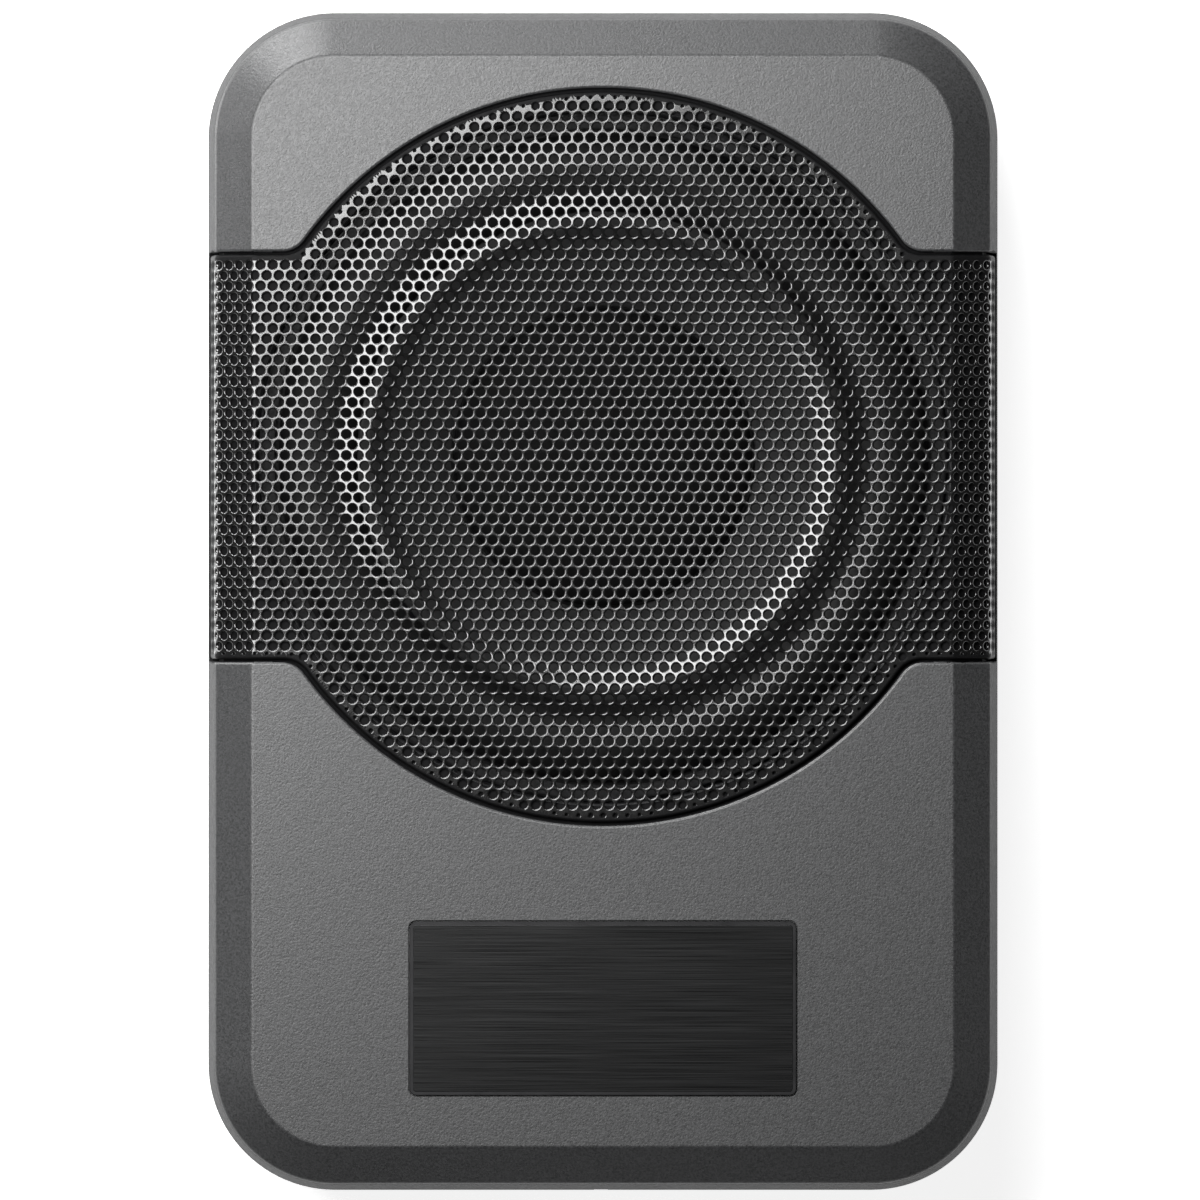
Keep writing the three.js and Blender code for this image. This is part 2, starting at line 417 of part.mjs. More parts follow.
piece(panel, 'power_led', union(cylinder(LED_X, 0, -0.8, 2.6, 1.5, 12), cylinder(LED_X, 0, 2.5, 3.4, 1.5, 12, 0.7), cylinder(LED_X, 0, -3, -0.7, 2.3, 12), box(LED_X - 1.3, LED_X + 1.3, BOARD_LOCAL, -1, -3, -1.2)), M.led);
{
  let block = box(RCA_X[0] - 7, RCA_X[1] + 6.1, BOARD_LOCAL, 8, -13, -0.7);
  for (const x of RCA_X) block = union(block, cylinder(x, 0, -1, 11, 4.15, 18), cylinder(x, 0, 2.3, 3.6, 6.2, 18));
  for (const x of RCA_X) block = block.subtract(cylinder(x, 0, 1, 12, 1.7, 10));
  piece(panel, 'rca_jack_block', block, M.plug);
}
{
  let jack = union(box(REMOTE_X - 7.5, REMOTE_X + 7.5, BOARD_LOCAL, 7.5, -13, -0.7), box(REMOTE_X - 6.7, REMOTE_X + 6.7, -5.7, 5.7, -1, 3.2));
  jack = jack.subtract(box(REMOTE_X - 5, REMOTE_X + 5, -3.5, 3.5, -8, 4)).subtract(box(REMOTE_X - 1.7, REMOTE_X + 1.7, -4.9, -3, -8, 4));
  piece(panel, 'remote_jack', jack, M.plug);
}
{
  let inlet = union(box(INLET_X - 11.5, INLET_X + 11.5, BOARD_LOCAL, 7.5, -13, -0.7), box(INLET_X - 11.1, INLET_X + 11.1, -6.6, 6.6, -1, 13));
  inlet = inlet.subtract(box(INLET_X - 9.6, INLET_X + 9.6, -5.1, 5.1, 1, 14)).subtract(box(INLET_X - 2, INLET_X + 2, 4, 6, 9, 14));
  for (const x of [-6.75, -2.25, 2.25, 6.75]) for (const y of [-2.3, 2.3])
    inlet = inlet.add(box(INLET_X + x - 0.7, INLET_X + x + 0.7, y - 0.7, y + 0.7, 0.5, 7.5));
  piece(panel, 'power_inlet', inlet, M.plug);
}

export default root;
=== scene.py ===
import math

import bmesh
import bpy
import numpy as np
from mathutils import Matrix, Vector
from mathutils.geometry import delaunay_2d_cdt


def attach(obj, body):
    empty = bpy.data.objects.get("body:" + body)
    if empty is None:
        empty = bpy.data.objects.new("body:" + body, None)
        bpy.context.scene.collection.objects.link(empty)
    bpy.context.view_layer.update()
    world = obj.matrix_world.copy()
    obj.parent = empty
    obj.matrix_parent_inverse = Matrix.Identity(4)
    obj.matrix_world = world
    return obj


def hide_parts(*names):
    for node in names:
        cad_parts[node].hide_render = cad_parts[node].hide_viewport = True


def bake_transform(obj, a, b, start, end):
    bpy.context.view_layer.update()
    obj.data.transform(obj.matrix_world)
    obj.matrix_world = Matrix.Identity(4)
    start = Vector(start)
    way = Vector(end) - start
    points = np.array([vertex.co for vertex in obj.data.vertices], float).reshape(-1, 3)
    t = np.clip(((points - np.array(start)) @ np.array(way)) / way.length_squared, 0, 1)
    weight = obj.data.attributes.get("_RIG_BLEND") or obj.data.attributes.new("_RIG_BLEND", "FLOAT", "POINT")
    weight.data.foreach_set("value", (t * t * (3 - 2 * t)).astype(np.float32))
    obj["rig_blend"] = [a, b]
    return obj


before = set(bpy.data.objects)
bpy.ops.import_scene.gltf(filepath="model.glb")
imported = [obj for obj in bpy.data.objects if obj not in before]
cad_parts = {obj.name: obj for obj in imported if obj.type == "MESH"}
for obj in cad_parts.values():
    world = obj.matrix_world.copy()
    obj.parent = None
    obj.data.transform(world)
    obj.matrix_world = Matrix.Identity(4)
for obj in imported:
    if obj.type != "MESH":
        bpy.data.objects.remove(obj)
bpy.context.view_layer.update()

MM = 0.001
TAU = 2 * math.pi

# ------------------------------------------------------------------ dimensions, as in the CAD
CX, CY = 77.5, 133.5                      # shared centres of the plan corners
CORNER_R, R_SHOULDER, R_TOP = 36.5, 34.5, 23.7
Z_PART, Z_SHOULDER, Z_TOP, COVER_T = 50.0, 69.0, 76.0, 3.5
WY = 41.6                                 # woofer axis
WINDOW_R, GRILLE_R, BAFFLE_R = 106.0, 105.2, 100.5
BAND_Y0, BAND_Y1, BAND_GAP, JUNCTION_R = -17.3, 100.5, 0.6, 8.0
GRILLE_DROP, GRILLE_T, RECESS_T, SKIRT_Z = 0.3, 1.0, 1.6, 53.0
BADGE = (111.4, 50.1, -117.2)
SCREWS = [(94, 148), (-94, 148), (102, 118), (-102, 118), (102, -35), (-102, -35), (94, -148), (-94, -148)]
FEET = {"foot_front_left": (-82, -130), "foot_front_right": (82, -130), "foot_rear_left": (-82, 130), "foot_rear_right": (82, 130)}
PANEL_Y, PANEL_Z = -154.3, 27.5
GAIN_X, LOWPASS_X, PHASE_X, LED_X, RCA_X, REMOTE_X, INLET_X = -55, -37, -20, -9, (2, 16), 30, 51
BOARD_TOP = 15.7
BL = BOARD_TOP + 0.3 - PANEL_Z

# ------------------------------------------------------------------ mesh helpers, all in millimetres


def obj_of(name, verts, faces, smooth=True):
    me = bpy.data.meshes.new(name)
    v = np.asarray(verts, float) * MM
    me.from_pydata([tuple(p) for p in v], [], [tuple(f) for f in faces])
    me.validate()
    me.update()
    o = bpy.data.objects.new(name, me)
    bpy.context.scene.collection.objects.link(o)
    if smooth:
        me.polygons.foreach_set("use_smooth", [True] * len(me.polygons))
    return o


def fillet(pts, radius, closed=False, k=4):
    """Rounds the corners of a polyline. radius is one number, or one for each point."""
    n = len(pts)
    rs = list(radius) if hasattr(radius, "__len__") else [radius] * n
    out = []
    for i, p in enumerate(pts):
        r = rs[i]
        if (not closed and i in (0, n - 1)) or r <= 0:
            out.append(tuple(p))
            continue
        a, b, c = (np.array(pts[j % n], float) for j in (i - 1, i, i + 1))
        u, w = a - b, c - b
        lu, lw = np.linalg.norm(u), np.linalg.norm(w)
        u, w = u / lu, w / lw
        cosang = float(np.clip(u @ w, -1, 1))
        ang = math.acos(cosang)
        if ang > math.pi - 0.02:
            out.append(tuple(p))
            continue
        t = min(r / math.tan(ang / 2), 0.49 * lu, 0.49 * lw)
        rr = t * math.tan(ang / 2)
        mid = (u + w) / np.linalg.norm(u + w)
        centre = b + mid * (rr / math.sin(ang / 2))
        s, e = b + u * t - centre, b + w * t - centre
        a0, a1 = math.atan2(s[1], s[0]), math.atan2(e[1], e[0])
        d = (a1 - a0 + math.pi) % TAU - math.pi
        for q in range(k + 1):
            th = a0 + d * q / k
            out.append((centre[0] + rr * math.cos(th), centre[1] + rr * math.sin(th)))
    return out


def lathe(name, profile, n=128, centre=(0, WY), closed=True):
    """profile: (radius, height) points. closed joins the last to the first; otherwise the ends are on the axis."""
    pts = [tuple(p) for p in profile]
    verts, rings = [], []
    for r, z in pts:
        if r < 1e-6:
            rings.append([len(verts)] * n)
            verts.append((centre[0], centre[1], z))
        else:
            rings.append(list(range(len(verts), len(verts) + n)))
            verts.extend((centre[0] + r * math.cos(TAU * i / n), centre[1] + r * math.sin(TAU * i / n), z) for i in range(n))
    faces = []
    m = len(rings)
    for j in range(m if closed else m - 1):
        a, b = rings[j], rings[(j + 1) % m]
        for i in range(n):
            q = [a[i], a[(i + 1) % n], b[(i + 1) % n], b[i]]
            q = [v for k, v in enumerate(q) if v != q[k - 1]]
            if len(q) > 2:
                faces.append(q)
    o = obj_of(name, verts, faces)
    outward(o)
    return o


def outward(o):
    bm = bmesh.new()
    bm.from_mesh(o.data)
    bmesh.ops.recalc_face_normals(bm, faces=bm.faces)
    bm.to_mesh(o.data)
    bm.free()
    return o


def ring(r, segs=20):
    out = []
    for sx, sy, start in ((1, 1, 0), (-1, 1, 90), (-1, -1, 180), (1, -1, 270)):
        for i in range(segs + 1):
            t = math.radians(start + 90 * i / segs)
            out.append((sx * CX + r * math.cos(t), sy * CY + r * math.sin(t)))
    return out


def loft(name, path, segs=20):
    """A closed stack of rounded outlines. path: (corner radius, z) from the bottom up."""
    verts, faces = [], []
    n = 4 * (segs + 1)
    for r, z in path:
        verts.extend((x, y, z) for x, y in ring(r, segs))
    for j in range(len(path) - 1):
        for i in range(n):
            a, b = j * n + i, j * n + (i + 1) % n
            faces.append((a, b, b + n, a + n))
    faces.append(tuple(reversed(range(n))))
    faces.append(tuple(range((len(path) - 1) * n, len(path) * n)))
    return outward(obj_of(name, verts, faces))


def prism(name, outline, z0, z1):
    n = len(outline)
    verts = [(x, y, z0) for x, y in outline] + [(x, y, z1) for x, y in outline]
    faces = [tuple(reversed(range(n))), tuple(range(n, 2 * n))] + [(i, (i + 1) % n, n + (i + 1) % n, n + i) for i in range(n)]
    return outward(obj_of(name, verts, faces, smooth=False))


def cyl(name, x, y, z0, z1, r, n=32, r1=None, bevel=0.0):
    r1 = r if r1 is None else r1
    if bevel:
        return lathe(name, fillet([(0, z0), (r, z0), (r1, z1), (0, z1)], [0, bevel, bevel, 0], k=3), n, (x, y), closed=False)
    return lathe(name, [(0, z0), (r, z0), (r1, z1), (0, z1)], n, (x, y), closed=False)


def box(name, x0, x1, y0, y1, z0, z1, bevel=0.0, segs=2):
    bm = bmesh.new()
    bmesh.ops.create_cube(bm, size=1.0)
    for v in bm.verts:
        v.co = Vector(((x0 + x1) / 2 + v.co.x * (x1 - x0), (y0 + y1) / 2 + v.co.y * (y1 - y0), (z0 + z1) / 2 + v.co.z * (z1 - z0))) * MM
    if bevel:
        bmesh.ops.bevel(bm, geom=list(bm.edges), offset=bevel * MM, segments=segs, affect="EDGES", profile=0.5, clamp_overlap=True)
    me = bpy.data.meshes.new(name)
    bm.to_mesh(me)
    bm.free()
    o = bpy.data.objects.new(name, me)
    bpy.context.scene.collection.objects.link(o)
    if bevel:
        me.polygons.foreach_set("use_smooth", [True] * len(me.polygons))
        me.set_sharp_from_angle(angle=math.radians(50))
    return o


def rrect(cx, cy, w, h, r, n=8):
    out = []
    for sx, sy, start in ((1, 1, 0), (-1, 1, 90), (-1, -1, 180), (1, -1, 270)):
        for i in range(n + 1):
            t = math.radians(start + 90 * i / n)
            out.append((cx + sx * (w / 2 - r) + r * math.cos(t), cy + sy * (h / 2 - r) + r * math.sin(t)))
    return out


def drop(o):
    me = o.data
    bpy.data.objects.remove(o)
    if me.users == 0:
        bpy.data.meshes.remove(me)


def bake_modifiers(o):
    deps = bpy.context.evaluated_depsgraph_get()
    me = bpy.data.meshes.new_from_object(o.evaluated_get(deps))
    old = o.data
    o.modifiers.clear()
    o.data = me
    me.name = o.name
    bpy.data.meshes.remove(old)
    return o


def cut(o, *steps):
    """steps: ("-" or "+" or "&", cutter)"""
    for op, c in steps:
        m = o.modifiers.new("b", "BOOLEAN")
        m.operation = {"-": "DIFFERENCE", "+": "UNION", "&": "INTERSECT"}[op]
        m.solver = "EXACT"
        m.object = c
        bake_modifiers(o)
        drop(c)
    return o


def join(name, *objs):
    """Several shells as one object."""
    bm = bmesh.new()
    for o in objs:
        if o.matrix_world != Matrix():
            o.data.transform(o.matrix_world)
        bm.from_mesh(o.data)
        drop(o)
    me = bpy.data.meshes.new(name)
    bm.to_mesh(me)
    bm.free()
    out = bpy.data.objects.new(name, me)
    bpy.context.scene.collection.objects.link(out)
    return out


def clean(o, dist=0.004):
    bm = bmesh.new()
    bm.from_mesh(o.data)
    bmesh.ops.remove_doubles(bm, verts=bm.verts, dist=dist * MM)
    bmesh.ops.dissolve_degenerate(bm, edges=bm.edges, dist=0.002 * MM)
    bm.to_mesh(o.data)
    bm.free()
    return o


def soften(o, width, rule=None, segs=2, angle=35, smooth=40, clamp=True):
    """Rounds the edges that rule weights, or every edge sharper than angle."""
    clean(o)
    bm = bmesh.new()
    bm.from_mesh(o.data)
    layer = bm.edges.layers.float.get("bevel_weight_edge") or bm.edges.layers.float.new("bevel_weight_edge")
    lim = math.radians(angle)
    for e in bm.edges:
        w = 0.0
        if len(e.link_faces) == 2:
            a = e.calc_face_angle_signed(0.0)
            if abs(a) > lim:
                w = rule(e, a) if rule else (1.0 if a > 0 else 0.0)
        e[layer] = w
    bm.to_mesh(o.data)
    bm.free()
    m = o.modifiers.new("bev", "BEVEL")
    m.limit_method = "WEIGHT"
    m.width = width * MM
    m.segments = segs
    m.use_clamp_overlap = clamp
    m.miter_outer = "MITER_ARC"
    bake_modifiers(o)
    o.data.polygons.foreach_set("use_smooth", [True] * len(o.data.polygons))
    o.data.set_sharp_from_angle(angle=math.radians(smooth))
    w = o.modifiers.new("wn", "WEIGHTED_NORMAL")
    w.keep_sharp = True
    w.weight = 80
    bake_modifiers(o)
    return o


def smooth_by(o, angle=40):
    o.data.polygons.foreach_set("use_smooth", [True] * len(o.data.polygons))
    o.data.set_sharp_from_angle(angle=math.radians(angle))
    return o


def to_panel(o):
    """Panel frame (x, up, out of the panel) to the shared frame."""
    m = Matrix(((1, 0, 0, 0), (0, 0, -1, PANEL_Y * MM), (0, 1, 0, PANEL_Z * MM), (0, 0, 0, 1)))
    o.data.transform(m)
    return o


def tube(name, pts, r, sides=12, per=6, closed_ends=True):
    """A round bar along a smooth curve through pts."""
    P = [np.array(p, float) for p in pts]
    line = []
    for i in range(len(P) - 1):
        p0 = P[i - 1] if i else 2 * P[0] - P[1]
        p1, p2 = P[i], P[i + 1]
        p3 = P[i + 2] if i + 2 < len(P) else 2 * P[-1] - P[-2]
        for q in range(per):
            t = q / per
            line.append(0.5 * (2 * p1 + (p2 - p0) * t + (2 * p0 - 5 * p1 + 4 * p2 - p3) * t * t + (3 * p1 - p0 - 3 * p2 + p3) * t ** 3))
    line.append(P[-1])
    verts, faces = [], []
    up = np.array([0.3, 0.1, 0.95])
    for i, p in enumerate(line):
        d = line[min(i + 1, len(line) - 1)] - line[max(i - 1, 0)]
        d /= np.linalg.norm(d)
        a = np.cross(d, up)
        if np.linalg.norm(a) < 0.05:
            a = np.cross(d, np.array([1.0, 0, 0]))
        a /= np.linalg.norm(a)
        b = np.cross(d, a)
        up = -b if np.dot(-b, up) > 0 else b
        verts.extend(tuple(p + r * (math.cos(TAU * s / sides) * a + math.sin(TAU * s / sides) * b)) for s in range(sides))
    n = len(line)
    for i in range(n - 1):
        for s in range(sides):
            a, b = i * sides + s, i * sides + (s + 1) % sides
            faces.append((a, b, b + sides, a + sides))
    faces.append(tuple(range(sides)))
    faces.append(tuple(range((n - 1) * sides, n * sides)))
    o = outward(obj_of(name, verts, faces))
    return smooth_by(o, 50)


# ------------------------------------------------------------------ materials


class Nodes:
    def __init__(self, name):
        self.m = bpy.data.materials.new(name)
        self.m.use_nodes = True
        self.t = self.m.node_tree
        self.b = self.t.nodes["Principled BSDF"]
        self.coord = self.t.nodes.new("ShaderNodeTexCoord").outputs["Object"]

    def node(self, kind, **props):
        n = self.t.nodes.new(kind)
        for k, v in props.items():
            setattr(n, k, v)
        return n

    def link(self, a, b):
        self.t.links.new(a, b)

    def mapped(self, scale):
        if not hasattr(scale, "__len__"):
            return self.coord, scale
        n = self.node("ShaderNodeMapping")
        n.inputs["Scale"].default_value = scale
        self.link(self.coord, n.inputs["Vector"])
        return n.outputs["Vector"], 1.0

    def noise(self, scale, detail=3.0, rough=0.55):
        vec, s = self.mapped(scale)
        n = self.node("ShaderNodeTexNoise")
        n.inputs["Scale"].default_value = s
        n.inputs["Detail"].default_value = detail
        n.inputs["Roughness"].default_value = rough
        self.link(vec, n.inputs["Vector"])
        return n.outputs["Fac"]

    def voronoi(self, scale, feature="F1"):
        vec, s = self.mapped(scale)
        n = self.node("ShaderNodeTexVoronoi", feature=feature)
        n.inputs["Scale"].default_value = s
        self.link(vec, n.inputs["Vector"])
        return n.outputs["Distance"]

    def wave(self, scale, direction="X", kind="BANDS", profile="SIN", distortion=0.0):
        n = self.node("ShaderNodeTexWave", wave_type=kind, wave_profile=profile)
        if kind == "BANDS":
            n.bands_direction = direction
        else:
            n.rings_direction = direction
        n.inputs["Scale"].default_value = scale
        n.inputs["Distortion"].default_value = distortion
        self.link(self.coord, n.inputs["Vector"])
        return n.outputs["Fac"]

    def ramp(self, value, *stops):
        n = self.node("ShaderNodeValToRGB")
        el = n.color_ramp.elements
        while len(el) < len(stops):
            el.new(0.5)
        for e, (p, c) in zip(el, stops):
            e.position = p
            e.color = (c, c, c, 1) if not hasattr(c, "__len__") else (*c, 1)
        self.link(value, n.inputs["Fac"])
        return n.outputs["Color"]

    def remap(self, value, lo, hi, a=0.3, b=0.7):
        n = self.node("ShaderNodeMapRange")
        n.inputs["From Min"].default_value = a
        n.inputs["From Max"].default_value = b
        n.inputs["To Min"].default_value = lo
        n.inputs["To Max"].default_value = hi
        self.link(value, n.inputs["Value"])
        return n.outputs["Result"]

    def math(self, op, a, b):
        n = self.node("ShaderNodeMath", operation=op)
        for i, v in enumerate((a, b)):
            if isinstance(v, (int, float)):
                n.inputs[i].default_value = v
            else:
                self.link(v, n.inputs[i])
        return n.outputs[0]

    def bump(self, height, strength, dist, under=None):
        n = self.node("ShaderNodeBump")
        n.inputs["Strength"].default_value = strength
        n.inputs["Distance"].default_value = dist * MM
        self.link(height, n.inputs["Height"])
        if under is not None:
            self.link(under, n.inputs["Normal"])
        return n.outputs["Normal"]

    def colour(self, out):
        self.link(out, self.b.inputs["Base Color"])

    def rough(self, out):
        self.link(out, self.b.inputs["Roughness"])

    def normal(self, out):
        self.link(out, self.b.inputs["Normal"])

    def set(self, **values):
        for k, v in values.items():
            self.b.inputs[k.replace("_", " ")].default_value = v
        return self


def proc(name, colour, rough, metal=0.0, vary=0.12, vary_scale=300, grain=900, grain_mm=0.03, strength=0.4, rough_vary=0.06, detail=3.0, **extra):
    """A moulded, cast or painted surface: colour that drifts a little, roughness that does too, and a fine grain."""
    n = Nodes(name)
    lo = tuple(c * (1 - vary) for c in colour)
    hi = tuple(c * (1 + vary) for c in colour)
    n.colour(n.ramp(n.noise(vary_scale, 4), (0.32, lo), (0.68, hi)))
    n.rough(n.remap(n.noise(vary_scale * 0.4 if not hasattr(vary_scale, "__len__") else 160, 3), rough - rough_vary, rough + rough_vary))
    n.normal(n.bump(n.noise(grain, detail), strength, grain_mm))
    n.set(Metallic=metal, **extra)
    return n.m


MAT = {}


def make_materials():
    # moulded cover: fine spark-eroded texture, grey
    n = Nodes("cover_plastic")
    fine = n.noise(1900, 2.0, 0.6)
    pits = n.voronoi(1500, "SMOOTH_F1")
    speck = n.math("ADD", n.math("MULTIPLY", n.remap(fine, 0.0, 1.0), 0.6), n.math("MULTIPLY", n.remap(pits, 0.0, 1.0, 0.1, 0.6), 0.4))
    n.colour(n.ramp(speck, (0.2, (0.016, 0.0163, 0.0168)), (0.8, (0.043, 0.0436, 0.045))))
    n.rough(n.remap(n.noise(900, 3), 0.38, 0.46))
    coarse = n.bump(n.noise(900, 3.0), 0.3, 0.04)
    n.normal(n.bump(speck, 0.65, 0.06, coarse))
    n.set(IOR=1.5, Specular_IOR_Level=0.72)
    MAT["cover"] = n.m
    # lighter, less glossy copy of the cover plastic for the outer side walls: painted light
    MAT["cover_side_painted_light"] = proc("cover_side_painted_light", (0.036, 0.0364, 0.0375), 0.6, vary=0.4, vary_scale=1900, grain=1500, grain_mm=0.07, strength=0.9, Specular_IOR_Level=0.12)
    # near-black, matte copy of the cover plastic: painted shade for the recess floor and the lip's inner walls, where
    # the lip and the grille shadow them
    MAT["cover_dark"] = proc("cover_recess_painted_shade", (0.006, 0.006, 0.0065), 0.7, grain=1300, grain_mm=0.03, Specular_IOR_Level=0.1)

    # matte, barely reflecting copy of the grille paint: painted shade for the skirt and the margin under the cover's
    # lip
    MAT["grille_wall"] = proc("grille_wall_paint", (0.006, 0.006, 0.0063), 0.5, vary_scale=700, grain=2200, grain_mm=0.02, strength=0.22, Specular_IOR_Level=0.08)
    n = Nodes("grille_paint")
    n.colour(n.ramp(n.noise(700, 4), (0.3, 0.004), (0.7, 0.007)))
    n.rough(n.remap(n.noise(500, 3), 0.16, 0.22))
    n.normal(n.bump(n.noise(2200, 2), 0.22, 0.02))
    n.set(Metallic=0.0, IOR=1.65, Coat_Weight=0.3, Coat_Roughness=0.18)
    MAT["grille"] = n.m

    # brushed plate: long hairlines across the width
    n = Nodes("badge_brushed")
    hair = n.noise((22, 5200, 40), 6, 0.62)
    broad = n.noise((9, 900, 20), 3, 0.5)
    both = n.math("ADD", n.math("MULTIPLY", hair, 0.7), n.math("MULTIPLY", broad, 0.3))
    n.colour(n.ramp(both, (0.4, (0.0035, 0.0036, 0.0038)), (0.62, (0.018, 0.0184, 0.0188))))
    n.rough(n.remap(hair, 0.22, 0.38))
    n.normal(n.bump(both, 0.35, 0.02))
    n.set(Metallic=0.55, IOR=1.6)
    MAT["badge"] = n.m
    MAT["badge_edge"] = proc("badge_edge", (0.012, 0.012, 0.013), 0.4, 0.4, grain=1500, grain_mm=0.01)

    MAT["tray"] = proc("tray_paint", (0.016, 0.0163, 0.0172), 0.5, 0.0, vary=0.22, vary_scale=(1300, 1300, 1300), grain=950, grain_mm=0.05, strength=0.55, rough_vary=0.02)
    MAT["panel"] = proc("panel_plastic", (0.02, 0.0205, 0.022), 0.55, vary=0.12, grain=1300, grain_mm=0.03, strength=0.45)
    MAT["rubber"] = proc("rubber", (0.018, 0.018, 0.018), 0.78, vary=0.18, grain=1100, grain_mm=0.03, strength=0.35)
    MAT["foam"] = proc("gasket_foam", (0.028, 0.028, 0.029), 0.9, vary=0.25, vary_scale=900, grain=1800, grain_mm=0.08, strength=0.7)
    MAT["screw"] = proc("screw_black", (0.03, 0.03, 0.032), 0.34, 0.8, vary=0.25, vary_scale=600, grain=2500, grain_mm=0.01)
    MAT["frame"] = proc("frame_paint", (0.022, 0.0225, 0.024), 0.45, 0.1, vary=0.12, grain=1500, grain_mm=0.03, strength=0.35)
    MAT["zinc"] = proc("zinc_plate", (0.55, 0.56, 0.58), 0.34, 0.95, vary=0.1, vary_scale=220, grain=(60, 2400, 60), grain_mm=0.01)
    MAT["aluminium"] = proc("extruded_aluminium", (0.62, 0.63, 0.65), 0.36, 0.95, vary=0.06, vary_scale=150, grain=(2600, 40, 40), grain_mm=0.01)
    MAT["ferrite"] = proc("ferrite", (0.055, 0.055, 0.06), 0.62, vary=0.3, vary_scale=500, grain=1500, grain_mm=0.04, strength=0.5)
    MAT["epoxy"] = proc("epoxy_black", (0.016, 0.016, 0.017), 0.45, vary=0.15, grain=1500, grain_mm=0.02)
    MAT["plug"] = proc("socket_plastic", (0.017, 0.017, 0.018), 0.38, vary=0.12, grain=1600, grain_mm=0.015, strength=0.3)
    MAT["knob"] = proc("knob_plastic", (0.02, 0.02, 0.021), 0.42, vary=0.12, grain=1500, grain_mm=0.02)
    MAT["white_print"] = proc("white_print", (0.78, 0.78, 0.77), 0.5, vary=0.05, grain=1500, grain_mm=0.01)
    MAT["pale_print"] = proc("pale_print", (0.3, 0.38, 0.47), 0.5, vary=0.05, grain=1500, grain_mm=0.01)
    MAT["rca_red"] = proc("phono_red", (0.55, 0.02, 0.018), 0.35, vary=0.08, grain=1500, grain_mm=0.01)
    MAT["rca_white"] = proc("phono_white", (0.75, 0.75, 0.73), 0.35, vary=0.05, grain=1500, grain_mm=0.01)
    MAT["nickel"] = proc("nickel", (0.66, 0.64, 0.6), 0.2, 1.0, vary=0.06, vary_scale=400, grain=1800, grain_mm=0.006, rough_vary=0.05)
    MAT["gold"] = proc("gold_contact", (0.9, 0.62, 0.24), 0.22, 1.0, vary=0.06, vary_scale=400, grain=1800, grain_mm=0.006, rough_vary=0.05)
    MAT["tin"] = proc("tinned", (0.6, 0.6, 0.6), 0.3, 1.0, vary=0.08, vary_scale=700, grain=2500, grain_mm=0.01)
    MAT["sleeve"] = proc("capacitor_sleeve", (0.02, 0.024, 0.045), 0.25, vary=0.1, grain=900, grain_mm=0.01, Coat_Weight=0.3, Coat_Roughness=0.1)
    MAT["wire_red"] = proc("wire_red", (0.35, 0.018, 0.016), 0.42, vary=0.1, grain=900, grain_mm=0.01)
    MAT["chip"] = proc("chip", (0.02, 0.02, 0.022), 0.5, vary=0.1, grain=1500, grain_mm=0.01)
    MAT["ceramic"] = proc("chip_capacitor", (0.35, 0.25, 0.14), 0.5, vary=0.12, grain=1500, grain_mm=0.01)

    # cone: pressed paper pulp with fibres
    n = Nodes("cone_pulp")
    fibre = n.noise((380, 1700, 600), 6, 0.7)
    felt = n.noise(900, 5, 0.65)
    mix = n.math("MULTIPLY", fibre, felt)
    n.colour(n.ramp(mix, (0.12, (0.009, 0.009, 0.0094)), (0.45, (0.022, 0.022, 0.023))))
    n.rough(n.remap(felt, 0.58, 0.74))
    n.normal(n.bump(mix, 0.6, 0.08))
    n.set(Sheen_Weight=0.15, Sheen_Roughness=0.5)
    MAT["cone"] = n.m
    MAT["cap"] = proc("dust_cap", (0.003, 0.003, 0.0032), 0.72, vary=0.15, grain=1300, grain_mm=0.015, strength=0.3, Specular_IOR_Level=0.2)
    MAT["surround"] = proc("surround_rubber", (0.006, 0.006, 0.0063), 0.6, vary=0.15, grain=1000, grain_mm=0.02, strength=0.35, Specular_IOR_Level=0.35)

    # spider: resin-coated cotton weave
    n = Nodes("spider_cloth")
    weave = n.math("MULTIPLY", n.wave(420, "X"), n.wave(420, "Y"))
    n.colour(n.ramp(n.math("ADD", n.math("MULTIPLY", weave, 0.6), n.math("MULTIPLY", n.noise(300, 4), 0.4)), (0.1, (0.2, 0.115, 0.04)), (0.8, (0.48, 0.31, 0.13))))
    n.rough(n.remap(n.noise(500, 3), 0.75, 0.9))
    n.normal(n.bump(weave, 0.7, 0.1))
    n.set(Sheen_Weight=0.3)
    MAT["spider"] = n.m

    # copper: enamelled turns
    n = Nodes("copper_turns")
    turns = n.wave(260, "Z")
    n.colour(n.ramp(turns, (0.05, (0.16, 0.045, 0.012)), (0.6, (0.62, 0.24, 0.075))))
    n.rough(n.remap(n.noise(400, 3), 0.22, 0.32))
    n.normal(n.bump(turns, 0.8, 0.15))
    n.set(Metallic=0.9, Coat_Weight=0.4, Coat_Roughness=0.12)
    MAT["copper"] = n.m
    MAT["copper_wire"] = proc("copper_wire", (0.6, 0.22, 0.07), 0.25, 0.9, vary=0.12, vary_scale=260, grain=1500, grain_mm=0.01, Coat_Weight=0.4, Coat_Roughness=0.12)
    MAT["former"] = proc("former_sheet", (0.42, 0.3, 0.13), 0.42, 0.1, vary=0.12, grain=900, grain_mm=0.01)

    # tinsel lead: braid
    n = Nodes("lead_braid")
    braid = n.math("MULTIPLY", n.wave(520, "Y", distortion=1.0), n.wave(520, "Z", distortion=1.0))
    n.colour(n.ramp(braid, (0.1, (0.26, 0.14, 0.07)), (0.8, (0.72, 0.5, 0.32))))
    n.rough(n.remap(n.noise(600, 3), 0.4, 0.55))
    n.normal(n.bump(braid, 0.8, 0.1))
    n.set(Metallic=0.6)
    MAT["braid"] = n.m

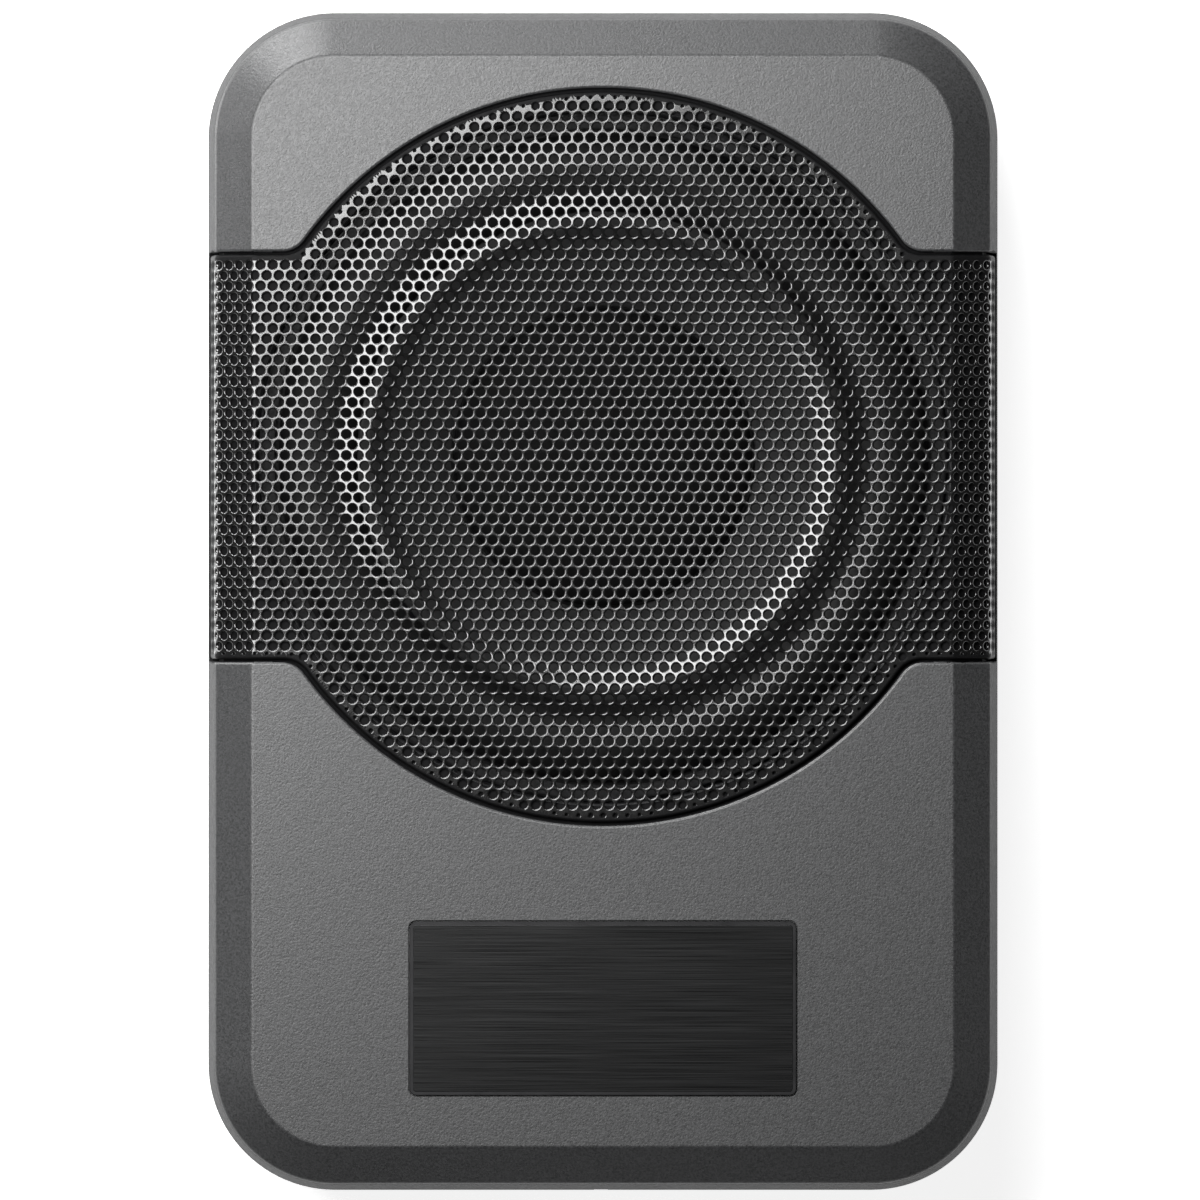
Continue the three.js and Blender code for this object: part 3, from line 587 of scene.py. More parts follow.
    # circuit board: solder mask over faint tracks
    n = Nodes("board_laminate")
    track = n.voronoi((190, 60, 1), "DISTANCE_TO_EDGE")
    n.colour(n.ramp(n.math("ADD", n.math("MULTIPLY", n.remap(track, 0, 1, 0.02, 0.09), 0.7), n.math("MULTIPLY", n.noise(500, 4), 0.3)), (0.1, (0.012, 0.085, 0.03)), (0.8, (0.02, 0.14, 0.05))))
    n.rough(n.remap(n.noise(300, 3), 0.28, 0.38))
    n.normal(n.bump(track, 0.3, 0.03))
    n.set(Coat_Weight=0.3, Coat_Roughness=0.15)
    MAT["board"] = n.m

    n = Nodes("led_lens")
    n.colour(n.ramp(n.noise(900, 3), (0.3, (0.05, 0.16, 0.55)), (0.7, (0.09, 0.25, 0.75))))
    n.rough(n.remap(n.noise(600, 3), 0.1, 0.18))
    n.normal(n.bump(n.noise(1500, 2), 0.1, 0.01))
    n.set(IOR=1.5, Coat_Weight=0.5, Coat_Roughness=0.05)
    MAT["led"] = n.m

    n = Nodes("studio_floor")
    n.colour(n.ramp(n.noise(6, 2), (0.3, 0.86), (0.7, 0.89)))
    n.rough(n.remap(n.noise(9, 2), 0.32, 0.4))
    n.set(IOR=1.45, Emission_Color=(1, 1, 1, 1), Emission_Strength=0.85)
    MAT["floor"] = n.m


make_materials()


def dress(o, material, body, *nodes, slot=None):
    """Material, CAD body and the CAD nodes that the piece stands for; slot is not used. A piece that bends between
    bodies has body None.
    """
    o.data.materials.clear()
    o.data.materials.append(MAT[material])
    if body:
        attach(o, body)
    if nodes:
        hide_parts(*nodes)
    return o


# ------------------------------------------------------------------ camera, light, floor
def stage():
    sc = bpy.context.scene
    sc.view_settings.view_transform = "Standard"
    cam = bpy.data.cameras.new("camera")
    co = bpy.data.objects.new("camera", cam)
    sc.collection.objects.link(co)
    dist = 8.0
    tilt = 0.0
    target = Vector((-0.00085, 0.0004, 0.055))
    co.location = target + Vector((0, -math.sin(tilt) * dist, math.cos(tilt) * dist))
    co.rotation_euler = (tilt, 0, 0)
    cam.sensor_width = 36
    cam.lens = 36 * dist / 0.3464
    cam.clip_end = 30
    sc.camera = co

    n = 48
    R = 4.0
    verts = [(R * 1000 * math.cos(TAU * i / n), R * 1000 * math.sin(TAU * i / n), 0.0) for i in range(n)]
    floor = obj_of("studio_floor", verts, [tuple(range(n))], smooth=False)
    floor.data.materials.append(MAT["floor"])

    def area(name, loc, size, size_y, watts, look=(0, 0, 0.05)):
        li = bpy.data.lights.new(name, "AREA")
        li.shape = "RECTANGLE"
        li.size, li.size_y, li.energy = size, size_y, watts
        ob = bpy.data.objects.new(name, li)
        sc.collection.objects.link(ob)
        ob.location = loc
        d = Vector(look) - Vector(loc)
        ob.rotation_euler = d.to_track_quat("-Z", "Y").to_euler()
        return ob

    key = area("key_softbox", (-0.212, 0.212, 0.76), 0.36, 0.6, 8.8)
    key.rotation_euler = (Matrix.Rotation(math.radians(-45), 3, "Z") @ Matrix.Rotation(math.radians(-16), 3, "Y")).to_euler()
    area("rear_softbox", (-0.55, 1.15, 0.42), 0.9, 0.35, 18.0)
    area("side_card", (-0.46, 0.21, 0.08), 0.2, 0.1, 0.7, look=(-0.107, 0.11, 0.066))
    w = bpy.data.worlds.new("studio")
    sc.world = w
    w.use_nodes = True
    t = w.node_tree
    bg = t.nodes["Background"]
    tc = t.nodes.new("ShaderNodeTexCoord")
    sep = t.nodes.new("ShaderNodeSeparateXYZ")
    t.links.new(tc.outputs["Generated"], sep.inputs[0])
    ramp = t.nodes.new("ShaderNodeValToRGB")
    el = ramp.color_ramp.elements
    while len(el) < 4:
        el.new(0.5)
    for e, (p, v) in zip(el, ((0.0, 0.6), (0.1, 0.28), (0.3, 0.08), (1.0, 0.025))):
        e.position = p
        e.color = (v, v, v, 1)
    t.links.new(sep.outputs["Z"], ramp.inputs["Fac"])
    t.links.new(ramp.outputs["Color"], bg.inputs["Color"])
    # the room is lighter to the left and behind, where the softboxes stand
    across = t.nodes.new("ShaderNodeMath")
    across.operation = "SUBTRACT"
    t.links.new(sep.outputs["Y"], across.inputs[0])
    t.links.new(sep.outputs["X"], across.inputs[1])
    fall = t.nodes.new("ShaderNodeMapRange")
    for name, v in (("From Min", -1.0), ("From Max", 1.0), ("To Min", 0.4), ("To Max", 1.1)):
        fall.inputs[name].default_value = v
    t.links.new(across.outputs[0], fall.inputs["Value"])
    t.links.new(fall.outputs["Result"], bg.inputs["Strength"])


stage()


# ------------------------------------------------------------------ the cover's skin, moved inwards by t
def skin(t, z_bottom, round_mm=2.2, lip=0.0):
    P = [(CORNER_R, Z_PART), (R_SHOULDER, Z_SHOULDER), (R_TOP, Z_TOP)]

    def shift(a, b):
        dx, dz = b[0] - a[0], b[1] - a[1]
        l = math.hypot(dx, dz)
        return (a[0] - dz / l * t, a[1] + dx / l * t), (dx, dz)

    (wp, wd), (bp, bd) = shift(P[0], P[1]), shift(P[1], P[2])
    at = lambda p, d, z: p[0] + d[0] * ((z - p[1]) / d[1])
    det = wd[0] * -bd[1] + wd[1] * bd[0]
    s = ((bp[0] - wp[0]) * -bd[1] + (bp[1] - wp[1]) * bd[0]) / det
    knee = (wp[0] + wd[0] * s, wp[1] + wd[1] * s)
    top = (at(bp, bd, Z_TOP - t), Z_TOP - t)
    start = [(at(wp, wd, z_bottom), z_bottom)]
    if lip:
        start = [(start[0][0] - lip, z_bottom), (at(wp, wd, z_bottom + lip), z_bottom + lip)]
    end = (top[0] - 6, top[1])
    r = max(0.6, round_mm - t)
    path = fillet([*start, knee, top, end], [0] * len(start) + [r, r, 0], k=6)
    return path


def grille_plan(r, y0, y1, f, x=130.0, arc=120, jn=10):
    """Plan of the grille or of the recess for it, anticlockwise from the right."""
    def quad(sx, sy, edge):
        h = abs(edge - WY)
        cx, cy = math.sqrt((r + f) ** 2 - (h + f) ** 2), h + f
        a0, a1 = 1.5 * math.pi, math.atan2(-cy, -cx) + TAU
        return [(sx * (cx + f * math.cos(a0 + (a1 - a0) * i / jn)), WY + sy * (cy + f * math.sin(a0 + (a1 - a0) * i / jn))) for i in range(jn + 1)]

    def cap(sy, edge):
        h = abs(edge - WY)
        a = math.atan2(h + f, math.sqrt((r + f) ** 2 - (h + f) ** 2))
        return [(r * math.cos(a + (math.pi - 2 * a) * i / arc), WY + sy * r * math.sin(a + (math.pi - 2 * a) * i / arc)) for i in range(1, arc)]

    return ([(x, y1), *quad(1, 1, y1), *cap(1, y1), *reversed(quad(-1, 1, y1)), (-x, y1), (-x, y0), *quad(-1, -1, y0)]
            + list(reversed(cap(-1, y0))) + [*reversed(quad(1, -1, y0)), (x, y0)])


SKIN = [(p[0], p[1]) for p in ((CORNER_R, Z_PART), (R_SHOULDER, Z_SHOULDER), (R_TOP, Z_TOP))]


def skin_gap(p):
    """How far a point on a long side or on the top is under the cover's outside."""
    r = abs(p.x) - CX
    gap = Z_TOP - p.z
    for (r0, z0), (r1, z1) in zip(SKIN[:-1], SKIN[1:]):
        l = math.hypot(r1 - r0, z1 - z0)
        gap = min(gap, abs((r - r0) * (z1 - z0) - (p.z - z0) * (r1 - r0)) / l if (r0 - r) * (z1 - z0) + (p.z - z0) * (r1 - r0) > -9 else gap)
    return gap


def build_cover():
    o = loft("cover_shell", skin(0, Z_PART, lip=0.35), 24)
    o = cut(o, ("-", loft("c1", skin(COVER_T, Z_PART - 3), 24)))
    seat = cut(cyl("c2", 0, WY, 68.7, 73, 106, 128), ("&", loft("c3", skin(0.6, Z_PART), 24)))
    posts = [cut(cyl(f"p{i}", x, y, 30.3, 74, 4.5, 28), ("&", loft("c4", skin(1.2, 25), 24))) for i, (x, y) in enumerate(SCREWS)]
    pads = []
    for k in range(6):
        t = math.radians(30 + 60 * k)
        pads.append(cyl(f"d{k}", 105.3 * math.cos(t), WY + 105.3 * math.sin(t), 68.9, 73.2, 5, 28))
    o = cut(o, ("+", seat))
    for p in posts + pads:
        o = cut(o, ("+", p))
    recess = cut(prism("c5", grille_plan(WINDOW_R, BAND_Y0, BAND_Y1, JUNCTION_R), SKIRT_Z, 90), ("-", loft("c6", skin(RECESS_T, Z_PART - 1), 24)))
    o = cut(o, ("-", recess))
    # the groove that takes the grille's turned-down edge
    groove = cut(prism("g1", grille_plan(WINDOW_R, BAND_Y0, BAND_Y1, JUNCTION_R), SKIRT_Z, 90),
                 ("-", prism("g2", grille_plan(WINDOW_R - 1.5, BAND_Y0 + 1.5, BAND_Y1 - 1.5, JUNCTION_R + 1.5, x=140), 0, 100)),
                 ("-", loft("g3", skin(RECESS_T + 1.2, Z_PART - 1), 24)))
    o = cut(o, ("-", groove))
    o = cut(o, ("-", cyl("c7", 0, WY, 60, 90, BAFFLE_R, 160)))
    o = cut(o, ("-", prism("c8", rrect(0, BADGE[2], BADGE[0] + 0.8, BADGE[1] + 0.8, 2.4), Z_TOP - 1.3, 90)))
    holes = [cyl(f"h{i}", x, y, 20, 50, 1.6, 20) for i, (x, y) in enumerate(SCREWS)]
    for k in range(6):
        t = math.radians(30 + 60 * k)
        holes.append(cyl(f"g{k}", 105.3 * math.cos(t), WY + 105.3 * math.sin(t), 66, 73.0, 1.3, 16))
    o = cut(o, ("-", join("c9", *holes)))
    o = cut(o, ("-", box("c10", -2.6, 1.4, -175, -168.2, 49, 51.4)))

    def lip(e, a):
        """The edge where the recess meets the outside."""
        if a < 0:
            return 0.0
        mid = (e.verts[0].co + e.verts[1].co) / 2 / MM
        d = math.hypot(mid.x, mid.y - WY)
        on_band = (abs(mid.y - BAND_Y0) < 0.3 or abs(mid.y - BAND_Y1) < 0.3) and abs(mid.x) > 80
        on_round = abs(d - WINDOW_R) < 0.4 and mid.z > 75.5
        near_junction = 80 < abs(mid.x) < 97 and WINDOW_R - 1 < d < WINDOW_R + 6 and mid.z > 75.5
        return 1.0 if (on_band or on_round or near_junction) and mid.z > 54 and skin_gap(mid) < 0.25 else 0.0

    soften(o, 1.1, lip, segs=4, angle=38, clamp=False)
    soften(o, 0.3, lambda e, a: 1.0 if a > 0 else 0.0, segs=2, angle=38)
    dress(o, "cover", "root", "top_cover", slot="cover_plastic")
    # slot 1 is painted shade, slot 2 is painted light on the side walls
    o.data.materials.append(MAT["cover_dark"])
    o.data.materials.append(MAT["cover_side_painted_light"])
    for p in o.data.polygons:
        c = p.center / MM
        d = math.hypot(c.x, c.y - WY)
        between = BAND_Y0 - 0.05 < c.y < BAND_Y1 + 0.05
        gap = skin_gap(c)
        ends = abs(c.x) > 99.5 and BAND_Y0 < c.y < BAND_Y1 and gap > 1.2
        inside = d < WINDOW_R + 0.2 or between
        wall = abs(p.normal.z) < 0.75 and (abs(d - WINDOW_R) < 1.3 or (abs(c.x) > 80 and min(abs(c.y - BAND_Y0), abs(c.y - BAND_Y1)) < 1.3) or (80 < abs(c.x) < 97 and WINDOW_R - 1 < d < WINDOW_R + 7))
        floor = p.normal.z > 0.5 and c.z < Z_TOP - 1.0
        # slot 1 paints shade: the recess floor, the band ends and the walls under the lip, which the lip and the grille
        # shadow
        if c.z > SKIRT_Z - 0.5 and inside and (floor or gap < 3.5 and (ends or gap > 1.75)):
            p.material_index = 1
        elif wall and c.z > 71.5 and abs(c.x) < 100.9 and d < WINDOW_R + 7:
            p.material_index = 1
        elif wall and abs(c.x) > 100 and abs(p.normal.y) > 0.7 and c.z > SKIRT_Z:
            p.material_index = 1
        # slot 2 paints light: the outer side walls below the shoulder get the lighter copy of the plastic
        elif abs(p.normal.z) < 0.35 and (abs(c.x) > 108 or abs(c.y) > 164 or math.hypot(abs(c.x) - CX, abs(c.y) - CY) > 32) and c.z < 70:
            p.material_index = 2
    return o


def build_tray():
    path = fillet([(24, 3.3), (30.5, 3.3), (33, 6), (35.6, 48.9), (30, 48.9)], [0, 1.2, 2.4, 0.5, 0], k=5)
    o = loft("tray_shell", path, 24)
    cavity = loft("t1", [(30.2, 6.3), (32.8, 54)], 24)
    cavity = cut(cavity, ("-", box("t2", -72.5, 72.5, -180, -151.5, 0, 47.5)))
    for s in (1, -1):
        a, b = sorted((s * 104.5, s * 120))
        cavity = cut(cavity, ("-", box("t3", a, b, -131, -59, 0, 45)))
    o = cut(o, ("-", cavity))
    o = cut(o, ("-", prism_panel("t4", rrect(0, 0, 140, 35, 2.5), 0.3, -40)), ("-", box("t5", -64, 64, -160, -150, 13.5, 41.5)))
    fins = []
    for s in (1, -1):
        for i in range(8):
            y = -128 + i * (62 / 7)
            a, b = sorted((s * 107.5, s * 120))
            fins.append(stadium_x(f"f{s}{i}", a, b, y + 2, 12, 42, 2.0))
    o = cut(o, ("-", join("t6", *fins)))
    for i, (x, y) in enumerate(SCREWS):
        o = cut(o, ("+", cyl(f"b{i}", x, y, 5, 30, 6.5, 36)))
    bores = [lathe(f"bb{i}", [(0, 0), (4.6, 0), (4.6, 12), (2.3, 12), (2.3, 34), (0, 34)], 36, (x, y), closed=False) for i, (x, y) in enumerate(SCREWS)]
    o = cut(o, ("-", join("t7", *bores)))
    o = cut(o, ("+", join("t8", *[cyl(f"s{i}", x, y, 5, 13.8, 3.2, 24) for i, (x, y) in enumerate([(-60, -98), (60, -98), (-60, -140), (60, -140)])])))
    o = cut(o, ("-", join("t9", *[cyl(f"r{i}", x, y, 0, 4.6, 11.3, 64) for i, (x, y) in enumerate(FEET.values())])))
    o = cut(o, ("+", join("t10", *[box(f"q{x}", x - 1, x + 1, -118, 118, 2.1, 3.6) for x in (-54, -27, 0, 27, 54)])))
    pins = []
    for x in (-67, 67):
        for z in (-11.5, 11.5):
            pins.append(to_panel(cyl(f"n{x}{z}", x, z, -6, 6, 1.5, 16)))
    o = cut(o, ("-", join("t11", *pins)))
    soften(o, 0.7, lambda e, a: (1.0 if a > 0 and max(v.co.z for v in e.verts) < 0.0485 else 0.35) if a > 0 else 0.0, segs=2, angle=40)
    return dress(o, "tray", "root", "base_tray", slot="tray_paint")


def prism_panel(name, outline, z0, z1):
    """A prism drawn in the panel's frame, from z0 out to -z1."""
    return to_panel(prism(name, outline, z0, -z1))


def stadium_x(name, x0, x1, y, z0, z1, r, n=8):
    """A slot cutter with round ends, running along X."""
    pts = []
    for i in range(n + 1):
        t = math.pi * i / n
        pts.append((y + r * math.cos(t), z1 - r + r * math.sin(t)))
    for i in range(n + 1):
        t = math.pi + math.pi * i / n
        pts.append((y + r * math.cos(t), z0 + r + r * math.sin(t)))
    m = len(pts)
    verts = [(x0, a, b) for a, b in pts] + [(x1, a, b) for a, b in pts]
    faces = [tuple(reversed(range(m))), tuple(range(m, 2 * m))] + [(i, (i + 1) % m, m + (i + 1) % m, m + i) for i in range(m)]
    return outward(obj_of(name, verts, faces, smooth=False))


# ------------------------------------------------------------------ grille: pressed, perforated sheet
PITCH, HOLE_R, ROLL, SHEET, EDGE = 3.52, 1.27, 0.46, 0.9, 0.85
SIDES = 12


def sheet_path():
    """The band's section: arc length, x, z and the outward normal, from the middle to the end of the skirt."""
    p = skin(GRILLE_DROP, SKIRT_Z + 0.6, round_mm=2.5)
    pts = [(CX + r, z) for r, z in p][::-1]
    pts[0] = (0.0, pts[0][1])
    pts = np.array(pts)
    dense = [pts[0]]
    for a, b in zip(pts[:-1], pts[1:]):
        n = max(1, int(np.linalg.norm(b - a) / 0.5))
        dense.extend(a + (b - a) * (i + 1) / n for i in range(n))
    dense = np.array(dense)
    seg = np.diff(dense, axis=0)
    s = np.concatenate([[0], np.cumsum(np.linalg.norm(seg, axis=1))])
    tang = np.gradient(dense, s, axis=0)
    tang /= np.linalg.norm(tang, axis=1)[:, None]
    # average the tangent over a short stretch, so that the bends shade smoothly
    k = np.ones(5) / 5
    tx = np.convolve(np.pad(tang[:, 0], 2, "edge"), k, "valid")
    tz = np.convolve(np.pad(tang[:, 1], 2, "edge"), k, "valid")
    return s, dense[:, 0], dense[:, 1], -tz, tx


def ring_height():
    """Height of the pressed rings above the flat sheet, against the distance from the axis."""
    r = np.arange(0, 140, 0.05)
    z = np.interp(r, [62, 66.6, 67.8, 76.5, 83.5, 94, 100, 140], [75.1, 76.45, 76.5, 75.0, 75.75, 75.5, 75.65, 75.7]) - 75.7
    z = np.where(r < 62, 73.1 - 75.7 + 2.0 * (r / 62) ** 2, z)
    w = np.exp(-0.5 * (np.arange(-3, 3.01, 0.05) / 0.75) ** 2)
    z = np.convolve(np.pad(z, len(w) // 2, "edge"), w / w.sum(), "valid")[: len(r)]
    return r, z, np.gradient(z, r)


def build_grille():
    S, SXp, SZp, SNX, SNZ = sheet_path()
    RR, RZ, RD = ring_height()
    smax = float(S[-1])
    outline = grille_plan(GRILLE_R - EDGE, BAND_Y0 + BAND_GAP + EDGE, BAND_Y1 - BAND_GAP - EDGE, JUNCTION_R + BAND_GAP + EDGE, x=smax - EDGE, arc=150)
    out = np.array(outline)
    top_r = HOLE_R + ROLL
    pts = [Vector(p) for p in outline]
    # points along the straight skirt edges, so that the sheet bends cleanly there
    edges = []
    ring_pts = []
    n0 = len(outline)
    for i in range(n0):
        a, b = out[i], out[(i + 1) % n0]
        ring_pts.append(a)
        m = int(np.linalg.norm(b - a) / 1.2)
        ring_pts.extend(a + (b - a) * j / (m + 1) for j in range(1, m + 1))
    pts = [Vector(p) for p in ring_pts]
    edges = [(i, (i + 1) % len(pts)) for i in range(len(pts))]
    poly = np.array(ring_pts)

    def inside(p):
        """Whether each point lies inside the outline."""
        x, y = p[:, 0][:, None], p[:, 1][:, None]
        x0, y0 = poly[:, 0][None], poly[:, 1][None]
        x1, y1 = np.roll(poly[:, 0], -1)[None], np.roll(poly[:, 1], -1)[None]
        cond = ((y0 > y) != (y1 > y)) & (x < (x1 - x0) * (y - y0) / np.where(y1 == y0, 1e-12, y1 - y0) + x0)
        return cond.sum(1) % 2 == 1

    row = PITCH * math.sqrt(3) / 2
    oy = WY + 0.4
    centres = []
    for j in range(-60, 61):
        for i in range(-45, 46):
            centres.append((i * PITCH + (PITCH / 2 if j % 2 else 0.0), oy + j * row))
    centres = np.array(centres)
    # a hole near the edge is smaller, and one on the edge is drawn in to clear it
    pa, pb = poly, np.roll(poly, -1, axis=0)
    dist, near = np.empty(len(centres)), np.empty_like(centres)
    for k in range(0, len(centres), 400):
        c = centres[k:k + 400, None]
        t = np.clip(((c - pa) * (pb - pa)).sum(2) / np.maximum(((pb - pa) ** 2).sum(1), 1e-12), 0, 1)
        q = pa + t[..., None] * (pb - pa)
        away = np.linalg.norm(q - c, axis=2)
        best = away.argmin(1)
        dist[k:k + 400] = away[np.arange(len(best)), best]
        near[k:k + 400] = q[np.arange(len(best)), best]
    dist = np.where(inside(centres), dist, -dist)
    inward = (centres - near) / np.where(np.abs(dist) < 1e-6, 1, dist)[:, None]
    gj = np.round((centres[:, 1] - oy) / row).astype(int)
    gi = np.round((centres[:, 0] - np.where(gj % 2 == 1, PITCH / 2, 0.0)) / PITCH).astype(int)
    drawn = (dist > -0.35) & (dist < 0.8) & (np.abs(dist) > 1e-3)
    spot = centres.copy()
    spot[drawn] = (near + inward * 0.8)[drawn]
    radius = np.where(drawn, 0.72, np.minimum(top_r, dist - 0.04))
    ok = radius > 0.5
    spot, radius, gi, gj = spot[ok], radius[ok], gi[ok], gj[ok]
    centres = spot
    grid = np.zeros((140, 140, 3))
    grid[gj + 70, gi + 70, 0] = radius
    grid[gj + 70, gi + 70, 1:] = spot
    unit = np.array([[math.cos(TAU * (k + 0.5) / SIDES), math.sin(TAU * (k + 0.5) / SIDES)] for k in range(SIDES)])
    for c, r in zip(centres, radius):
        b = len(pts)
        pts.extend(Vector(c + r * u) for u in unit)
        edges.extend((b + k, b + (k + 1) % SIDES) for k in range(SIDES))
    V, _, F, *_ = delaunay_2d_cdt(pts, edges, [], 0, 1e-6)
    V = np.array([tuple(v) for v in V])
    F = np.array([tuple(f) for f in F])
    cen = V[F].mean(1)

    def hole_at(p):
        """The radius of the hole that each point is in, or 0."""
        j = np.round((p[:, 1] - oy) / row).astype(int)
        found = np.zeros(len(p))
        for dj in (-1, 0, 1):
            jj = j + dj
            off = np.where(jj % 2 == 1, PITCH / 2, 0.0)
            i = np.round((p[:, 0] - off) / PITCH).astype(int)
            for di in (-1, 0, 1):
                g = grid[np.clip(jj + 70, 0, 139), np.clip(i + di + 70, 0, 139)]
                dx, dy = p[:, 0] - g[:, 1], p[:, 1] - g[:, 2]
                ang = np.mod(np.arctan2(dy, dx) + TAU / SIDES / 2, TAU / SIDES) - TAU / SIDES / 2
                found = np.where(np.hypot(dx, dy) * np.cos(ang) < g[:, 0] * math.cos(math.pi / SIDES) - 1e-4, g[:, 0], found)
        return found

    F = F[inside(cen) & (hole_at(cen) == 0)]
    used = np.unique(F)
    remap = -np.ones(len(V), int)
    remap[used] = np.arange(len(used))
    V, F = V[used], remap[F]
    # counter-clockwise in plan
    a, b, c = V[F[:, 0]], V[F[:, 1]], V[F[:, 2]]
    area = (b[:, 0] - a[:, 0]) * (c[:, 1] - a[:, 1]) - (b[:, 1] - a[:, 1]) * (c[:, 0] - a[:, 0])
    F[area < 0] = F[area < 0][:, ::-1]
    F = F[np.abs(area) > 1e-7]
    # free edges, in the direction in which the material lies on their left
    E = np.concatenate([F[:, [0, 1]], F[:, [1, 2]], F[:, [2, 0]]])
    key = E[:, 0].astype(np.int64) * len(V) + E[:, 1]
    rev = E[:, 1].astype(np.int64) * len(V) + E[:, 0]
    free = E[~np.isin(key, rev)]
    # which way is out of the material, at each free vertex
    d = V[free[:, 1]] - V[free[:, 0]]
    nrm = np.stack([d[:, 1], -d[:, 0]], 1)
    nrm /= np.maximum(np.linalg.norm(nrm, axis=1), 1e-9)[:, None]
    outv = np.zeros_like(V)
    np.add.at(outv, free[:, 0], nrm)
    np.add.at(outv, free[:, 1], nrm)
    ln = np.linalg.norm(outv, axis=1)
    isfree = ln > 1e-9
    outv[isfree] /= ln[isfree][:, None]

    def place(uv, depth):
        """From the flat sheet (arc length, y) and a depth under its face to the shared frame, and the face's normal there."""
        u, y = uv[:, 0], uv[:, 1]
        su, au = np.sign(u), np.abs(u)
        x, z = np.interp(au, S, SXp), np.interp(au, S, SZp)
        nx, nz = np.interp(au, S, SNX) * su, np.interp(au, S, SNZ)
        nrm = np.stack([nx, np.zeros_like(nx), nz], 1)
        rr = np.hypot(u, y - WY)
        h, dh = np.interp(rr, RR, RZ), np.interp(rr, RR, RD)
        flat = au < 100
        h, dh = np.where(flat, h, 0), np.where(flat, dh, 0)
        rs = np.maximum(rr, 1e-6)
        slope = np.stack([-dh * u / rs, -dh * (y - WY) / rs, np.ones_like(u)], 1)
        nrm = np.where((np.abs(dh) > 1e-6)[:, None], slope, nrm)
        nrm /= np.linalg.norm(nrm, axis=1)[:, None]
        p = np.stack([x * su, y, z + h], 1) - nrm * np.asarray(depth).reshape(-1, 1)
        return p, nrm

    def tangent(uv, outdir):
        """The direction outdir of the flat sheet, laid on the formed sheet."""
        e = 0.02
        a, _ = place(uv - outdir * e, np.zeros(len(uv)))
        b, _ = place(uv + outdir * e, np.zeros(len(uv)))
        t = b - a
        return t / np.maximum(np.linalg.norm(t, axis=1), 1e-9)[:, None]

    n = len(V)
    # the outer edge is only cut, so it rolls over less than a punched hole does
    at_rim = np.zeros(n, bool)
    idx = np.where(isfree)[0]
    within = hole_at(V[idx] + outv[idx] * 0.2)
    at_rim[idx[within == 0]] = True
    roll = np.full(n, EDGE)
    roll[idx[within > 0]] = np.minimum(ROLL, within[within > 0] * 0.4)
    top, nt = place(V, np.zeros(n))
    tdir = tangent(V, outv)
    mid = top + tdir * (roll * np.where(at_rim, 0.7, 0.6))[:, None] - nt * (roll * np.where(at_rim, 0.3, 0.15))[:, None]
    deep = roll * np.where(at_rim, 1.0, 0.52)
    edge = top + tdir * roll[:, None] - nt * deep[:, None]
    foot = edge - nt * (np.where(at_rim, 1.2, SHEET) - deep)[:, None]
    back = top - nt * SHEET
    fid = -np.ones(n, int)
    fid[idx] = np.arange(len(idx))
    m = len(idx)
    P = np.concatenate([top, mid[idx], edge[idx], foot[idx], back])
    o_mid, o_edge, o_foot, o_back = n, n + m, n + 2 * m, n + 3 * m
    fa, fb = fid[free[:, 0]], fid[free[:, 1]]
    quads = [
        np.stack([free[:, 1], free[:, 0], o_mid + fa, o_mid + fb], 1),
        np.stack([o_mid + fb, o_mid + fa, o_edge + fa, o_edge + fb], 1),
        np.stack([o_edge + fb, o_edge + fa, o_foot + fa, o_foot + fb], 1),
    ]
    backmap = o_back + np.arange(n)
    backmap[idx] = o_foot + np.arange(m)
    Fb = backmap[F[:, ::-1]]
    # shading normals: the formed sheet's own, rolling over into the holes
    turn = np.where(at_rim, 1.0, 0.0)[:, None]
    N = np.concatenate([nt, (nt * (0.9 - 0.2 * turn) + tdir * (0.44 + 0.27 * turn))[idx], (nt * (0.5 - 0.4 * turn) + tdir * 0.87)[idx], tdir[idx], -nt])
    N /= np.maximum(np.linalg.norm(N, axis=1), 1e-9)[:, None]
    cx_top = V[F].mean(1)[:, 0]
    cx_quad = V[free].mean(1)[:, 0]
    made = []
    for name, lo, hi in (("grille_left", -1e9, -36.0), ("grille_middle", -36.0, 36.0), ("grille_right", 36.0, 1e9)):
        st = (cx_top >= lo) & (cx_top < hi)
        sq = (cx_quad >= lo) & (cx_quad < hi)
        tris = np.concatenate([F[st], Fb[st]])
        qs = np.concatenate([q[sq] for q in quads])
        loops = np.concatenate([tris.ravel(), qs.ravel()])
        u, inv = np.unique(loops, return_inverse=True)
        me = bpy.data.meshes.new(name)
        me.vertices.add(len(u))
        me.vertices.foreach_set("co", (P[u] * MM).ravel())
        me.loops.add(len(loops))
        me.loops.foreach_set("vertex_index", inv.ravel().astype(np.int32))
        sizes = np.concatenate([np.full(len(tris), 3), np.full(len(qs), 4)])
        me.polygons.add(len(sizes))
        me.polygons.foreach_set("loop_start", np.concatenate([[0], np.cumsum(sizes)[:-1]]).astype(np.int32))
        me.polygons.foreach_set("use_smooth", np.ones(len(sizes), bool))
        me.update(calc_edges=True)
        nl = N[loops]
        nl[len(F[st]) * 3: len(tris) * 3] = -nt[np.concatenate([F[st][:, ::-1].ravel()])] if st.any() else nl[:0]
        me.normals_split_custom_set(nl)
        ob = bpy.data.objects.new(name, me)
        bpy.context.scene.collection.objects.link(ob)
        dress(ob, "grille", "root", "grille", slot="grille_paint")
        me.materials.append(MAT["grille_wall"])
        starts = np.concatenate([[0], np.cumsum(sizes)[:-1]]).astype(np.int64)
